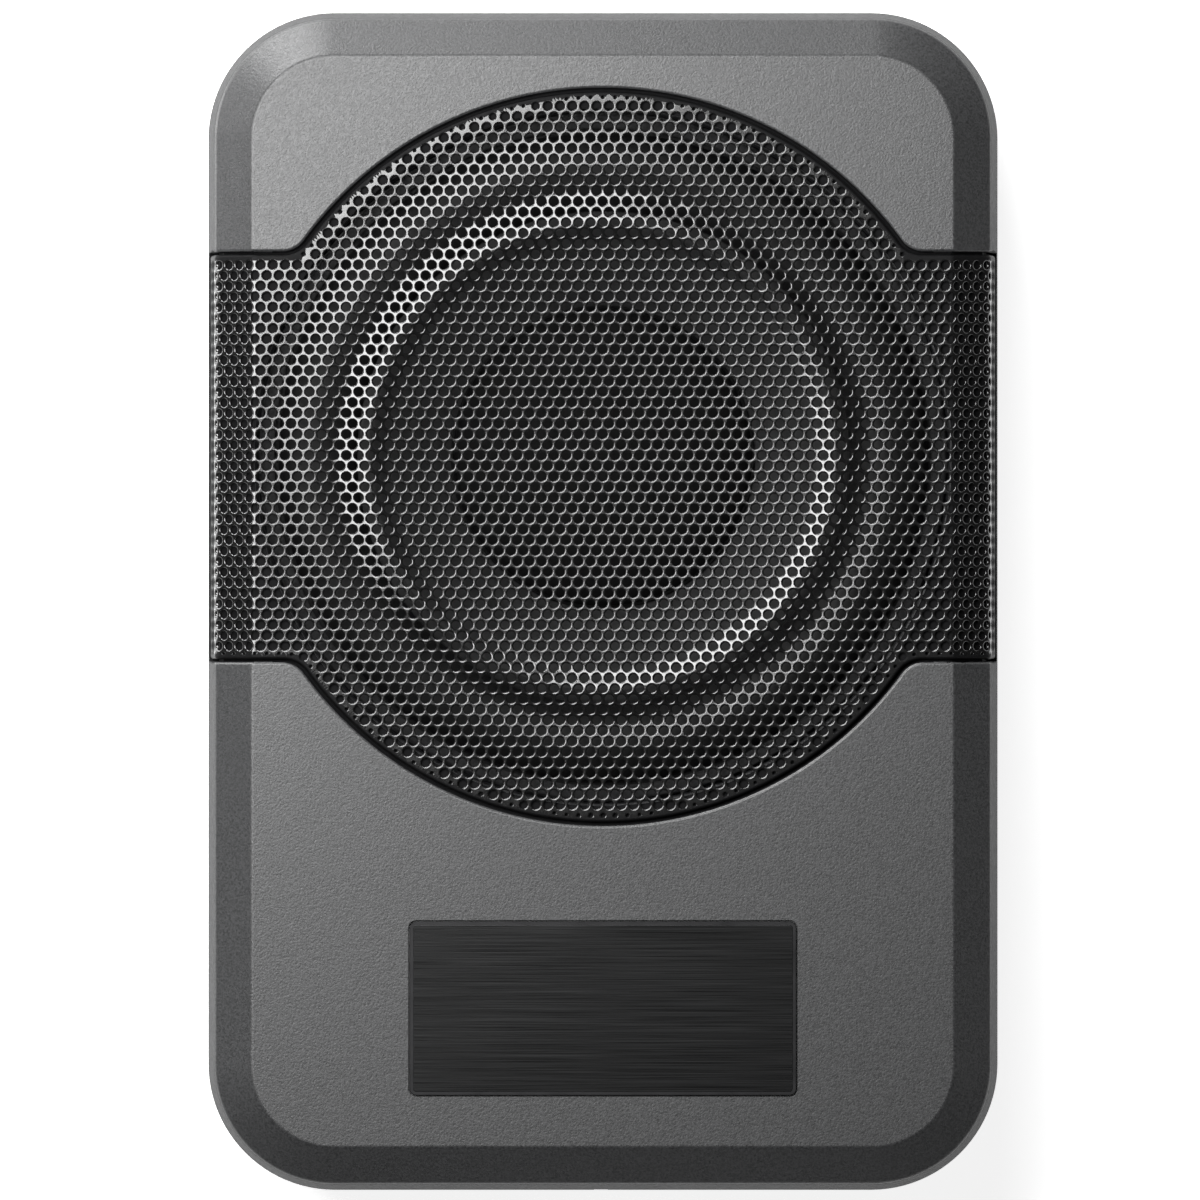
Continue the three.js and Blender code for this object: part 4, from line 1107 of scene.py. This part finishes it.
        # slot 1 paints shade: the skirt down the ends and a 2.2 mm margin along the outline, which the cover's lip
        # shadows, get the matte copy
        at = np.add.reduceat(P[loops], starts, axis=0) / sizes[:, None]
        rim = np.maximum(WINDOW_R - np.hypot(at[:, 0], at[:, 1] - WY), np.minimum(at[:, 1] - BAND_Y0, BAND_Y1 - at[:, 1]))
        painted_shade_faces = (np.abs(at[:, 0]) > 112.0) | (rim < 2.2)
        me.polygons.foreach_set("material_index", painted_shade_faces.astype(np.int32))
        made.append(ob)
        print("grille", name, len(tris) + 2 * len(qs), "triangles")
    return made


# ------------------------------------------------------------------ badge
def build_badge():
    cx, cy = 0.0, BADGE[2]
    w, h = BADGE[0], BADGE[1]
    rings = [(0.0, 74.9), (0.0, 75.72), (0.18, 75.82), (1.05, 75.82), (1.2, 75.9), (1.35, 75.9)]
    verts, faces = [], []
    per = len(rrect(0, 0, 10, 10, 1, 8))
    for inset, z in rings:
        verts.extend((x, y, z) for x, y in rrect(cx, cy, w - 2 * inset, h - 2 * inset, max(0.4, 2.0 - inset), 8))
    for j in range(len(rings) - 1):
        for i in range(per):
            a, b = j * per + i, j * per + (i + 1) % per
            faces.append((a, b, b + per, a + per))
    faces.append(tuple(reversed(range(per))))
    faces.append(tuple(range((len(rings) - 1) * per, len(rings) * per)))
    o = outward(obj_of("badge", verts, faces))
    o.data.set_sharp_from_angle(angle=math.radians(25))
    dress(o, "badge", "root", "badge_plate", slot="badge_metal")
    o.data.materials.append(MAT["badge_edge"])
    for p in o.data.polygons:
        c = p.center / MM
        inset = min(w / 2 - abs(c.x - cx), h / 2 - abs(c.y - cy))
        if inset < 1.22 and len(p.vertices) == 4:
            p.material_index = 1


# ------------------------------------------------------------------ woofer
def build_woofer():
    frame_profile = fillet([(32, 31.3), (54.2, 31.3), (59.2, 36.3), (66.5, 36.3), (95, 59.5), (101.5, 59.5), (101.5, 66),
                            (105, 66), (105, 68.4), (99.7, 68.4), (99.7, 61.5), (93.5, 61.5), (65.3, 38.1), (58.3, 38.1), (53.3, 33.1), (32, 33.1)],
                           [0.3, 1.5, 2.4, 2, 2, 1.6, 0.5, 0.6, 0.6, 0.8, 0.6, 0.8, 1.0, 1.0, 1.4, 0.3], closed=True, k=3)
    o = lathe("basket", frame_profile, 144)
    for k in range(6):
        a = 30 + 60 * k
        pts = [(91 * math.cos(math.radians(a + 9 + 42 * i / 14)), WY + 91 * math.sin(math.radians(a + 9 + 42 * i / 14))) for i in range(15)]
        pts += [(69 * math.cos(math.radians(a + 51 - 42 * i / 14)), WY + 69 * math.sin(math.radians(a + 51 - 42 * i / 14))) for i in range(15)]
        pts = fillet(pts, [3.0 if i in (0, 14, 15, 29) else 0 for i in range(30)], closed=True, k=4)
        o = cut(o, ("-", prism("w1", pts, 30, 66)))
        t = math.radians(a)
        x, y = 105.3 * math.cos(t), WY + 105.3 * math.sin(t)
        o = cut(o, ("+", cyl("w2", x, y, 66, 68.4, 5, 32)), ("-", cyl("w3", x, y, 60, 70, 1.7, 20)))
    o = cut(o, ("+", box("w4", -9, 9, WY - 84.8, WY - 79, 40, 48)))
    soften(o, 0.3, angle=50, segs=2)
    dress(o, "frame", "root", "woofer_frame", slot="frame_steel")

    dress(lathe("gasket_ring", fillet([(94.8, 62.9), (98.8, 62.9), (98.8, 65.4), (94.8, 65.4)], 0.5, True, 3), 144), "foam", "root", "frame_gasket", slot="gasket_foam")

    # cone with a rolled rim and shallow pressed ribs
    N = 180
    prof = fillet([(25.8, 43.4), (27, 43.4), (66.8, 60.9), (70.4, 60.9), (70.4, 61.9), (66.5, 61.9), (26.5, 44.6), (25.8, 44.6)], [0, 0.6, 1.0, 0.3, 0.3, 1.6, 0.8, 0], True, 4)
    dense = []
    for i, p in enumerate(prof):
        q = prof[(i + 1) % len(prof)]
        dense.append(p)
        m = int(math.dist(p, q) / 1.6)
        dense.extend((p[0] + (q[0] - p[0]) * k / (m + 1), p[1] + (q[1] - p[1]) * k / (m + 1)) for k in range(1, m + 1))
    cone = lathe("cone_body", dense, N)
    me = cone.data
    co = np.empty(len(me.vertices) * 3)
    me.vertices.foreach_get("co", co)
    co = co.reshape(-1, 3)
    r = np.hypot(co[:, 0], co[:, 1] - WY * MM) / MM
    ribs = sum(np.exp(-0.5 * ((r - c) / 0.7) ** 2) for c in (48.0, 54.0, 60.0))
    co[:, 2] += 0.45 * MM * ribs
    me.vertices.foreach_set("co", co.ravel())
    smooth_by(cone, 45)
    dress(cone, "cone", "cone_assembly", "cone", slot="cone_pulp")

    outer, inner = [(43.0, 52.15)], []
    for i in range(25):
        t = math.pi / 2 * i / 24
        outer.append((43 * math.cos(t) if i < 24 else 0.0, 52.6 + 7.8 * math.sin(t)))
        inner.append((42.2 * math.cos(t) if i < 24 else 0.0, 52.15 + 7.4 * math.sin(t)))
    cap = lathe("cap_dome", inner[::-1] + outer, 128, closed=False)
    dress(smooth_by(cap, 50), "cap", "cone_assembly", "dust_cap", slot="cap_plastic")
    dress(smooth_by(lathe("cap_bead", fillet([(42.9, 52.0), (44.3, 52.55), (43.15, 53.3)], 0.35, True, 3), 128), 60), "cap", "cone_assembly", slot="cap_plastic")

    over, under = [(67.3, 63.0), (69.9, 63.05)], [(67.3, 62.2), (70.2, 62.2)]
    for i in range(33):
        t = math.pi - math.pi * i / 32
        over.append((82.3 + 11.4 * math.cos(t), 62.9 + 6.9 * math.sin(t)))
        under.append((82.3 + 10.7 * math.cos(t), 62.2 + 6.8 * math.sin(t)))
    over += [(94.6, 62.6), (98.8, 62.6)]
    under += [(94.2, 61.8), (98.8, 61.8)]
    sur = lathe("surround_roll", fillet(over, [0, 0.8] + [0] * 33 + [0.8, 0]) + fillet(under, [0, 0.6] + [0] * 33 + [0.6, 0])[::-1], 180)
    smooth_by(sur, 50)
    dress(sur, "surround", None, "surround", slot="surround_rubber")
    flex(sur, 70.0, 94.4)

    over, under = [], []
    for i in range(90):
        r = 28.5 + (59.2 - 28.5) * i / 89
        edge = min(1.0, (r - 28.5) / 3, (59.2 - r) / 3)
        z = 39.1 + 1.0 * edge * math.sin(TAU * (r - 28.5) / 6.14)
        over.append((r, z + 0.22))
        under.append((r, z - 0.22))
    over = [(25.9, 39.32), *over, (59.6, 39.35), (64.4, 39.35)]
    under = [(25.9, 38.9), *under, (59.6, 38.85), (64.4, 38.85)]
    spi = smooth_by(lathe("spider_disc", over + under[::-1], 144), 60)
    dress(spi, "spider", None, "spider", slot="spider_cloth")
    flex(spi, 26.5, 59.5)

    dress(smooth_by(lathe("former_tube", [(25, 21.5), (25.45, 21.5), (25.45, 44.55), (25, 44.55)], 96)), "former", "cone_assembly", "coil_former", slot="former_sheet")
    wound = [(25.7, 35.5), (25.7, 21.5)]
    for i in range(28):
        z = 21.5 + 0.5 * i
        wound += [(26.42, z), (26.58, z + 0.12), (26.6, z + 0.25), (26.58, z + 0.38)]
    wound.append((26.42, 35.5))
    dress(smooth_by(lathe("coil_winding", wound, 96), 70), "copper_wire", "cone_assembly", "voice_coil", slot="copper_wire")
    dress(smooth_by(lathe("upper_plate", fillet([(27.5, 26), (50, 26), (50, 31), (27.5, 31)], 0.5, True, 3), 128)), "zinc", "root", "top_plate", slot="zinc_steel")
    dress(smooth_by(lathe("magnet_ring", fillet([(29, 12.3), (55, 12.3), (55, 25.7), (29, 25.7)], [0.5, 1.6, 1.6, 0.5], True, 4), 128), 60), "ferrite", "root", "magnet", slot="ferrite")
    dress(smooth_by(lathe("yoke", fillet([(8, 7.2), (48, 7.2), (48, 12), (24.3, 12), (24.3, 31.5), (8, 31.5)], [1, 1.2, 0.6, 0.8, 0.8, 1], True, 4), 128)), "zinc", "root", "back_plate", slot="zinc_steel")

    # terminals, with two tinned spades and their rivets
    body = box("tb", -19.5, 19.5, WY - 89, WY - 85.1, 38, 49, 0.6)
    dress(body, "epoxy", "root", "terminal_block", slot="black_plastic")
    tabs = []
    for x in (-7, 7):
        tabs.append(box("tt", x - 2.2, x + 2.2, WY - 93.5, WY - 88.8, 41.1, 41.9, 0.15))
    for x in (-17, 17):
        tabs.append(cyl("tr", x, WY - 87, 48.8, 49.35, 1.5, 24, bevel=0.2))
    dress(smooth_by(join("terminal_tabs", *tabs), 40), "tin", "root", slot="black_plastic")
    for side, s in (("left", -1), ("right", 1)):
        t = tube("lead_" + side, [(s * x, WY + y, z) for x, y, z in
                                  [(17, -87, 49.5), (17, -87, 51.5), (17.3, -85, 53), (17.2, -81, 52.6), (16.6, -72, 50), (16, -62, 48), (15.5, -53.5, 50), (15, -50, 53)]], 0.7, 12, 6)
        dress(t, "braid", None, "tinsel_lead_" + side, slot="lead_braid")
        me = t.data
        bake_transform(t, "root", "cone_assembly", start=(s * 17 * MM, (WY - 78) * MM, 0.05), end=(s * 15 * MM, (WY - 51) * MM, 0.05))
    for k in range(6):
        t = math.radians(30 + 60 * k)
        x, y = 105.3 * math.cos(t), WY + 105.3 * math.sin(t)
        dress(screw(f"woofer_screw_head_{k + 1}", x, y, 63.6, 65.8, 72.6, 2.8, 1.25, down=True), "screw", "root", f"woofer_screw_{k + 1}", slot="screw_black")


def flex(o, r0, r1):
    """A ring that stays with the frame at r1 and follows the cone at r0."""
    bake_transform(o, "root", "cone_assembly", start=(0, (WY + r1) * MM, 0.06), end=(0, (WY + r0) * MM, 0.06))
    me = o.data
    at = me.attributes.get("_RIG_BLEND")
    co = np.empty(len(me.vertices) * 3)
    me.vertices.foreach_get("co", co)
    co = co.reshape(-1, 3)
    r = np.hypot(co[:, 0], co[:, 1] - WY * MM) / MM
    w = np.clip((r1 - r) / (r1 - r0), 0, 1)
    w = w * w * (3 - 2 * w)
    at.data.foreach_set("value", w.astype(np.float32))


def screw(name, x, y, z_head0, z_head1, z_tip, r_head, r_shank, down=False):
    """A pan-head screw pointing up, with a cross recess in its underside and a threaded shank."""
    prof = [(0, z_head0)] + fillet([(0.2, z_head0), (r_head, z_head0), (r_head, z_head1), (r_shank, z_head1)], [0, min(0.9, r_head * 0.3), 0.15, 0], k=5)[1:]
    pitch = max(0.7, r_shank * 0.75)
    z = z_head1 + 0.8
    while z < z_tip - 2.2 * r_shank:
        prof += [(r_shank * 0.82, z), (r_shank, z + pitch * 0.35), (r_shank, z + pitch * 0.5), (r_shank * 0.82, z + pitch * 0.85)]
        z += pitch
    prof += [(r_shank * 0.8, z_tip - 1.5 * r_shank), (0, z_tip)]
    o = lathe(name, prof, 32, (x, y), closed=False)
    w, l = r_head * 0.16, r_head * 0.52
    depth = (z_head1 - z_head0) * 0.55
    a = prism("x1", [(x - l, y - w), (x + l, y - w), (x + l, y + w), (x - l, y + w)], z_head0 - 1, z_head0 + depth)
    b = prism("x2", [(x - w, y - l), (x + w, y - l), (x + w, y + l), (x - w, y + l)], z_head0 - 1, z_head0 + depth)
    o = cut(o, ("-", a), ("-", b))
    return smooth_by(o, 35)


# ------------------------------------------------------------------ amplifier
def build_amp():
    board = prism("board", rrect(0, -119.5, 144, 63, 1.5), 14.1, BOARD_TOP)
    board = cut(board, ("-", join("bh", *[cyl("bh0", x, y, 10, 20, 1.6, 20) for x, y in ((-60, -98), (60, -98), (-60, -140), (60, -140))])))
    dress(board, "board", "root", "amp_board", slot="board_laminate")
    rng = np.random.default_rng(7)
    chips, caps, leads = [], [], []
    for x, y, w, h, t in ((-58, -121, 9, 6, 1.5), (44, -117, 11, 11, 1.6), (58, -120, 6, 5, 1.5), (-14, -133, 8, 5, 1.5), (34, -133, 9, 6, 1.5)):
        chips.append(box("ch", x - w / 2, x + w / 2, y - h / 2, y + h / 2, BOARD_TOP + 0.15, BOARD_TOP + t, 0.15))
        for i in range(int(w / 1.27)):
            for s in (-1, 1):
                px = x - w / 2 + 0.9 + i * 1.27
                py = y + s * (h / 2 + 0.5)
                leads.append(box("cl", px - 0.2, px + 0.2, py - 0.6, py + 0.6, BOARD_TOP + 0.02, BOARD_TOP + 0.5, 0.05, 1))
    spots = [(-66 + 6.0 * i, -104.5 + 0.0 * i) for i in range(3)] + [(36 + 5.0 * i, -104) for i in range(3)] + [(-62 + 7 * i, -130) for i in range(6)] + [(40 + 5 * i, -128) for i in range(4)]
    for x, y in spots:
        x += float(rng.uniform(-0.8, 0.8))
        y += float(rng.uniform(-0.8, 0.8))
        caps.append(box("sm", x - 1.0, x + 1.0, y - 0.62, y + 0.62, BOARD_TOP + 0.02, BOARD_TOP + 0.75, 0.1, 1))
        for s in (-1, 1):
            leads.append(box("sl", x + s * 1.0 - 0.25, x + s * 1.0 + 0.25, y - 0.64, y + 0.64, BOARD_TOP + 0.01, BOARD_TOP + 0.78, 0.05, 1))
    dress(smooth_by(join("board_chips", *chips), 40), "chip", "root", slot="board_laminate")
    dress(smooth_by(join("board_capacitors", *caps), 40), "ceramic", "root", slot="board_laminate")
    dress(smooth_by(join("board_solder", *leads), 40), "tin", "root", slot="board_laminate")

    up = box("hs1", -50, 50, -87.2, -83.5, 6.6, 40)
    foot = box("hs2", -50, 50, -84.5, -66, 6.6, 9.6)
    hs = cut(up, ("+", foot))
    hs = cut(hs, ("+", join("hs3", *[box("hf", -49, 49, -84, -80.5, z, z + 1.2) for z in (16, 20.5, 25, 29.5, 34)])))
    soften(hs, 0.3, segs=2)
    dress(hs, "aluminium", "root", "heat_spreader", slot="spreader_aluminium")

    # inductor: a ring core with its turns wound round it
    core = lathe("tor", [(13 + 3.6 * math.cos(TAU * i / 24), 21.2 + 3.6 * math.sin(TAU * i / 24)) for i in range(24)], 64, (-40, -114))
    verts, faces, sides, turns = [], [], 8, 40
    steps = turns * 14
    for i in range(steps):
        th = TAU * i / steps
        ph = TAU * turns * i / steps
        rad = 4.3
        c = np.array([(13 + rad * math.cos(ph)) * math.cos(th), (13 + rad * math.cos(ph)) * math.sin(th), rad * math.sin(ph)])
        d = np.array([-rad * math.sin(ph) * math.cos(th) * turns - (13 + rad * math.cos(ph)) * math.sin(th), -rad * math.sin(ph) * math.sin(th) * turns + (13 + rad * math.cos(ph)) * math.cos(th), rad * math.cos(ph) * turns])
        d /= np.linalg.norm(d)
        a = np.array([math.cos(ph) * math.cos(th), math.cos(ph) * math.sin(th), math.sin(ph)])
        a -= d * (a @ d)
        a /= np.linalg.norm(a)
        b = np.cross(d, a)
        verts.extend(tuple(c + 0.66 * (math.cos(TAU * s / sides) * a + math.sin(TAU * s / sides) * b) + np.array([-40, -114, 21.2])) for s in range(sides))
    for i in range(steps):
        for s in range(sides):
            a, b = i * sides + s, i * sides + (s + 1) % sides
            c, d = ((i + 1) % steps) * sides + (s + 1) % sides, ((i + 1) % steps) * sides + s
            faces.append((a, b, c, d))
    wire = outward(obj_of("inductor_winding", verts, faces))
    dress(wire, "copper_wire", "root", "toroid_inductor", slot="copper_wire")
    dress(smooth_by(core), "ferrite", "root", slot="copper_wire")
    core.name = "inductor_core"

    for i, x in ((1, -4), (2, 18)):
        prof = fillet([(0, 16), (9, 16), (9, 17.6), (8.6, 18.2), (9, 18.8), (9, 45.2), (0, 45.2)], [0, 0.8, 0.3, 0.4, 0.3, 0.9, 0], k=4)
        c = smooth_by(lathe(f"can_{i}", prof, 64, (x, -112), closed=False), 50)
        dress(c, "sleeve", "root", f"filter_capacitor_{i}", slot="capacitor_sleeve")
        top = cut(cyl("ct", x, -112, 44.9, 45.38, 7.9, 64, bevel=0.15), ("-", box("cv", x - 5, x + 5, -112.2, -111.8, 45.2, 46)), ("-", box("cw", x - 0.2, x + 0.2, -117, -107, 45.2, 46)))
        top.name = f"can_top_{i}"
        dress(smooth_by(top, 35), "aluminium", "root", slot="capacitor_sleeve")
    for i, x in ((1, -22), (2, 22)):
        b = box("pt", x - 8, x + 8, -92.5, -87.5, 19, 40, 0.5)
        b = cut(b, ("-", to_y(cyl("ph", x, 36.0, -95, -80, 1.8, 28))))
        b.name = f"transistor_{i}"
        dress(smooth_by(b, 40), "epoxy", "root", f"power_transistor_{i}", slot="black_plastic")
        dress(smooth_by(join(f"transistor_legs_{i}", *[box("lg", x + q - 0.6, x + q + 0.6, -90.8, -90.2, 14.6, 19.4, 0.1, 1) for q in (-5, 0, 5)])), "tin", "root", slot="black_plastic")
    wire = [(46, -100, 16.8), (46, -100, 24), (46, -96, 37), (42, -84, 48), (32, -73, 51), (18, -66, 47.5), (9, -61, 43.2), (7, -57, 41.6), (7, -52.5, 41.5)]
    dress(tube("speaker_wire", wire, 1.4, 14, 8), "wire_red", "root", "speaker_lead", slot="wire_insulation")


def to_y(o):
    """Turns a piece drawn along Z with (x, height) as its plan so that it runs along Y."""
    m = Matrix(((1, 0, 0, 0), (0, 0, 1, 0), (0, 1, 0, 0), (0, 0, 0, 1)))
    o.data.transform(m)
    outward(o)
    return o


# ------------------------------------------------------------------ controls and sockets
def build_panel():
    p = prism("panel_plate", rrect(0, 0, 139, 34, 1.5), 0, 2)
    holes = [cyl("k", x, 0, -1, 3, 3.7, 32) for x in (GAIN_X, LOWPASS_X)] + [cyl("k", x, 0, -1, 3, 4.6, 40) for x in RCA_X] + [cyl("k", LED_X, 0, -1, 3, 1.9, 24)]
    holes += [box("k", PHASE_X - 4.6, PHASE_X + 4.6, -2.2, 2.2, -1, 3), box("k", REMOTE_X - 7, REMOTE_X + 7, -6, 6, -1, 3), box("k", INLET_X - 11.4, INLET_X + 11.4, -6.9, 6.9, -1, 3)]
    holes += [cyl("k", x, y, -1, 3, 1.5, 20) for x in (-67, 67) for y in (-11.5, 11.5)]
    p = cut(p, ("-", join("ph", *holes)))
    # the plate's edges and the edges of its holes rounded
    soften(p, 0.25, segs=2)
    dress(to_panel(p), "panel", "root", "control_panel", slot="panel_plastic")

    marks = []
    for x in (GAIN_X, LOWPASS_X):
        for i in range(11):
            t = math.radians(-50 + 28 * i)
            long = i in (0, 5, 10)
            a, b = 8.5, 9.9 if long else 9.3
            u = np.array([math.cos(t), math.sin(t)])
            v = np.array([-u[1], u[0]])
            c = [u * a - v * 0.16, u * b - v * 0.16, u * b + v * 0.16, u * a + v * 0.16]
            marks.append(prism("tk", [(x + q[0], q[1]) for q in c], 1.99, 2.04))
    # a minus and a plus at the ends of each dial
    for x in (GAIN_X, LOWPASS_X):
        for s in (-1, 1):
            cx, cy = x + s * 6.6, -9.6
            marks.append(prism("mi", rrect(cx, cy, 1.7, 0.34, 0.12, 3), 1.99, 2.04))
            if s > 0:
                marks.append(prism("pl", rrect(cx, cy, 0.34, 1.7, 0.12, 3), 1.985, 2.035))
    dress(to_panel(smooth_by(join("panel_print", *marks), 30)), "white_print", "root", slot="panel_plastic")

    k = 0
    for x in (-67, 67):
        for y in (-11.5, 11.5):
            k += 1
            o = screw(f"panel_screw_head_{k}", x, y, -3.9, -2.3, 2.2, 2.4, 1.2)
            o.data.transform(Matrix.Diagonal((1, 1, -1, 1)))
            outward(o)
            smooth_by(o, 35)
            dress(to_panel(o), "screw", "root", f"panel_screw_{k}", slot="screw_black")

    for name, x in (("gain", GAIN_X), ("lowpass", LOWPASS_X)):
        body = box("pb", x - 6, x + 6, BL, 6.5, -11, -0.7, 0.4)
        dress(to_panel(body), "epoxy", "root", f"{name}_pot", slot="black_plastic")
        body.name = f"{name}_pot_body"
        sh = lathe("ps", fillet([(0, -1), (3.2, -1), (3.2, 4), (3.0, 4.2), (3.0, 11.8), (0, 11.8)], [0, 0, 0.2, 0, 0.4, 0], k=2), 40, (x, 0), closed=False)
        sh.name = f"{name}_pot_shaft"
        dress(to_panel(smooth_by(sh)), "nickel", "root", slot="black_plastic")
        kn = knob(f"{name}_knob_cap", x)
        dress(to_panel(kn), "knob", f"{name}_control", f"{name}_knob", slot="knob_plastic")
        ptr = box(f"{name}_pointer", x - 0.45, x + 0.45, 2.2, 6.3, 13.55, 13.85, 0.1, 1)
        dress(to_panel(ptr), "white_print", f"{name}_control", slot="knob_plastic")

    sw = cut(box("sw", PHASE_X - 6.5, PHASE_X + 6.5, BL, 5, -8, -0.7), ("-", box("sx", PHASE_X - 4.3, PHASE_X + 4.3, -1.9, 1.9, -4.5, 0)))
    soften(sw, 0.25, segs=2)
    sw.name = "switch_body"
    dress(to_panel(sw), "epoxy", "root", "phase_switch", slot="black_plastic")
    c = PHASE_X - 1.5
    sl = box("sl", c - 1.6, c + 1.6, -1.5, 1.5, -4.1, 4.7, 0.3)
    sl = cut(sl, ("-", join("sg", *[box("sg0", c + q - 0.18, c + q + 0.18, -2, 2, 4.35, 5.5) for q in (-0.9, -0.3, 0.3, 0.9)])))
    sl.name = "slider_nub"
    dress(to_panel(smooth_by(sl, 35)), "white_print", "phase_control", "phase_slider", slot="knob_plastic")

    led = lathe("led_dome", fillet([(0, -3), (2.3, -3), (2.3, -0.8), (1.5, -0.8), (1.5, 2.2), (0, 3.6)], [0, 0.2, 0.2, 0.1, 1.3, 0], k=6), 40, (LED_X, 0), closed=False)
    dress(to_panel(smooth_by(led, 50)), "led", "root", "power_led", slot="led_lens")
    st = box("led_stem", LED_X - 1.3, LED_X + 1.3, BL, -2.4, -3, -1.2, 0.2)
    dress(to_panel(st), "epoxy", "root", slot="led_lens")
    bez = lathe("led_bezel", fillet([(1.95, 1.9), (2.9, 1.9), (2.7, 2.4), (1.95, 2.4)], 0.15, True, 2), 40, (LED_X, 0))
    dress(to_panel(smooth_by(bez, 50)), "nickel", "root", slot="led_lens")

    block = box("rb", RCA_X[0] - 7, RCA_X[1] + 6.1, BL, 8, -13, -0.7, 0.4)
    dress(to_panel(block), "plug", "root", "rca_jack_block", slot="black_plastic")
    block.name = "phono_block"
    for i, x in enumerate(RCA_X):
        col = lathe(f"phono_collar_{i + 1}", fillet([(3.55, -0.6), (4.15, -0.6), (4.15, 11), (3.55, 11)], [0, 0, 0.25, 0.25], True, 3), 56, (x, 0))
        nut = lathe("pn", fillet([(4.2, 2.1), (6.2, 2.1), (6.2, 3.4), (4.2, 3.4)], 0.25, True, 2), 12 * 6, (x, 0))
        dress(to_panel(smooth_by(join(f"phono_shell_{i + 1}", col, nut), 50)), "nickel", "root", slot="black_plastic")
        core = lathe(f"phono_insert_{i + 1}", fillet([(1.7, 3), (1.7, 10.6), (3.5, 10.6), (3.5, -0.6), (0, -0.6), (0, 3)], [0, 0.3, 0.3, 0, 0, 0], k=2), 48, (x, 0), closed=False)
        dress(to_panel(smooth_by(core)), "rca_white" if i == 0 else "rca_red", "root", slot="black_plastic")

    j = cut(box("rj", REMOTE_X - 7.5, REMOTE_X + 7.5, BL, 7.5, -13, -0.7), ("+", box("rk", REMOTE_X - 6.7, REMOTE_X + 6.7, -5.7, 5.7, -1, 3.2)),
            ("-", box("rl", REMOTE_X - 5, REMOTE_X + 5, -3.5, 3.5, -8, 4)), ("-", box("rm", REMOTE_X - 1.7, REMOTE_X + 1.7, -4.9, -3, -8, 4)))
    soften(j, 0.25, segs=2)
    j.name = "remote_housing"
    dress(to_panel(j), "plug", "root", "remote_jack", slot="black_plastic")
    pins = [box("rp", REMOTE_X + q - 0.22, REMOTE_X + q + 0.22, 2.9, 3.45, -7.6, 1.4, 0.05, 1) for q in (-3.2, -1.92, -0.64, 0.64, 1.92, 3.2)]
    dress(to_panel(smooth_by(join("remote_contacts", *pins))), "gold", "root", slot="black_plastic")

    b = cut(box("pi", INLET_X - 11.5, INLET_X + 11.5, BL, 7.5, -13, -0.7), ("+", box("pj", INLET_X - 11.1, INLET_X + 11.1, -6.6, 6.6, -1, 13)),
            ("-", box("pk", INLET_X - 9.6, INLET_X + 9.6, -5.1, 5.1, 1, 14)), ("-", box("pl", INLET_X - 2, INLET_X + 2, 4, 6, 9, 14)))
    soften(b, 0.3, segs=2)
    b.name = "inlet_shroud"
    dress(to_panel(b), "plug", "root", "power_inlet", slot="black_plastic")
    pins = [box("pp", INLET_X + x - 0.7, INLET_X + x + 0.7, y - 0.7, y + 0.7, 0.6, 7.5, 0.3) for x in (-6.75, -2.25, 2.25, 6.75) for y in (-2.3, 2.3)]
    dress(to_panel(smooth_by(join("inlet_pins", *pins), 50)), "tin", "root", slot="black_plastic")


def knob(name, x):
    """A knurled knob with a skirt and a crowned face."""
    n, verts, faces = 144, [], []
    prof = fillet([(3.4, 2.8), (7.4, 2.8), (7.4, 3.7), (6.75, 3.9), (6.55, 13.2), (5.7, 13.9)], [0, 0.2, 0.4, 0.3, 0.7, 0], k=4) + [(3.0, 13.98), (0, 14.0)]
    inner = [(0, 12.2), (3.4, 12.2)]
    rows = inner + prof
    rings = []
    for r, z in rows:
        if r < 1e-6:
            rings.append([len(verts)] * n)
            verts.append((x, 0, z))
            continue
        rings.append(list(range(len(verts), len(verts) + n)))
        for i in range(n):
            t = TAU * i / n
            groove = 0.22 * max(0.0, math.cos(18 * t)) ** 2 if 4.3 < z < 12.9 and r > 6 else 0.0
            verts.append((x + (r - groove) * math.cos(t), (r - groove) * math.sin(t), z))
    for j in range(len(rings) - 1):
        a, b = rings[j], rings[j + 1]
        for i in range(n):
            q = [a[i], a[(i + 1) % n], b[(i + 1) % n], b[i]]
            q = [v for k, v in enumerate(q) if v != q[k - 1]]
            if len(q) > 2:
                faces.append(q)
    o = outward(obj_of(name, verts, faces))
    return smooth_by(o, 45)


# ------------------------------------------------------------------ feet, seal and case screws
def build_fittings():
    for name, (x, y) in FEET.items():
        prof = fillet([(0, 0.0), (9.4, 0.0), (11, 1.2), (11, 4.3), (0, 4.3)], [0, 0.9, 0.6, 0.4, 0], k=4)
        o = lathe(name + "_pad", prof, 72, (x, y), closed=False)
        o = cut(o, ("-", lathe("fg", [(5.2, -1), (6.4, -1), (6.4, 0.5), (5.2, 0.5)], 64, (x, y))))
        dress(smooth_by(o, 35), "rubber", "root", name, slot="feet_rubber")
    a = loft("seal_ring", fillet([(30, 49.1), (34.4, 49.1), (34.4, 49.8), (30, 49.8)], [0, 0.2, 0.2, 0], k=2), 24)
    a = cut(a, ("-", loft("sr", [(33.2, 40), (33.2, 60)], 24)))
    dress(smooth_by(a, 40), "rubber", "root", "cover_gasket", slot="seal_rubber")
    for i, (x, y) in enumerate(SCREWS):
        dress(screw(f"case_screw_{i + 1}", x, y, 9.3, 11.7, 44, 4.0, 1.55), "screw", "root", f"cover_screw_{i + 1}", slot="screw_black")


build_cover()
build_tray()
build_grille()
build_badge()
build_woofer()
build_amp()
build_panel()
build_fittings()
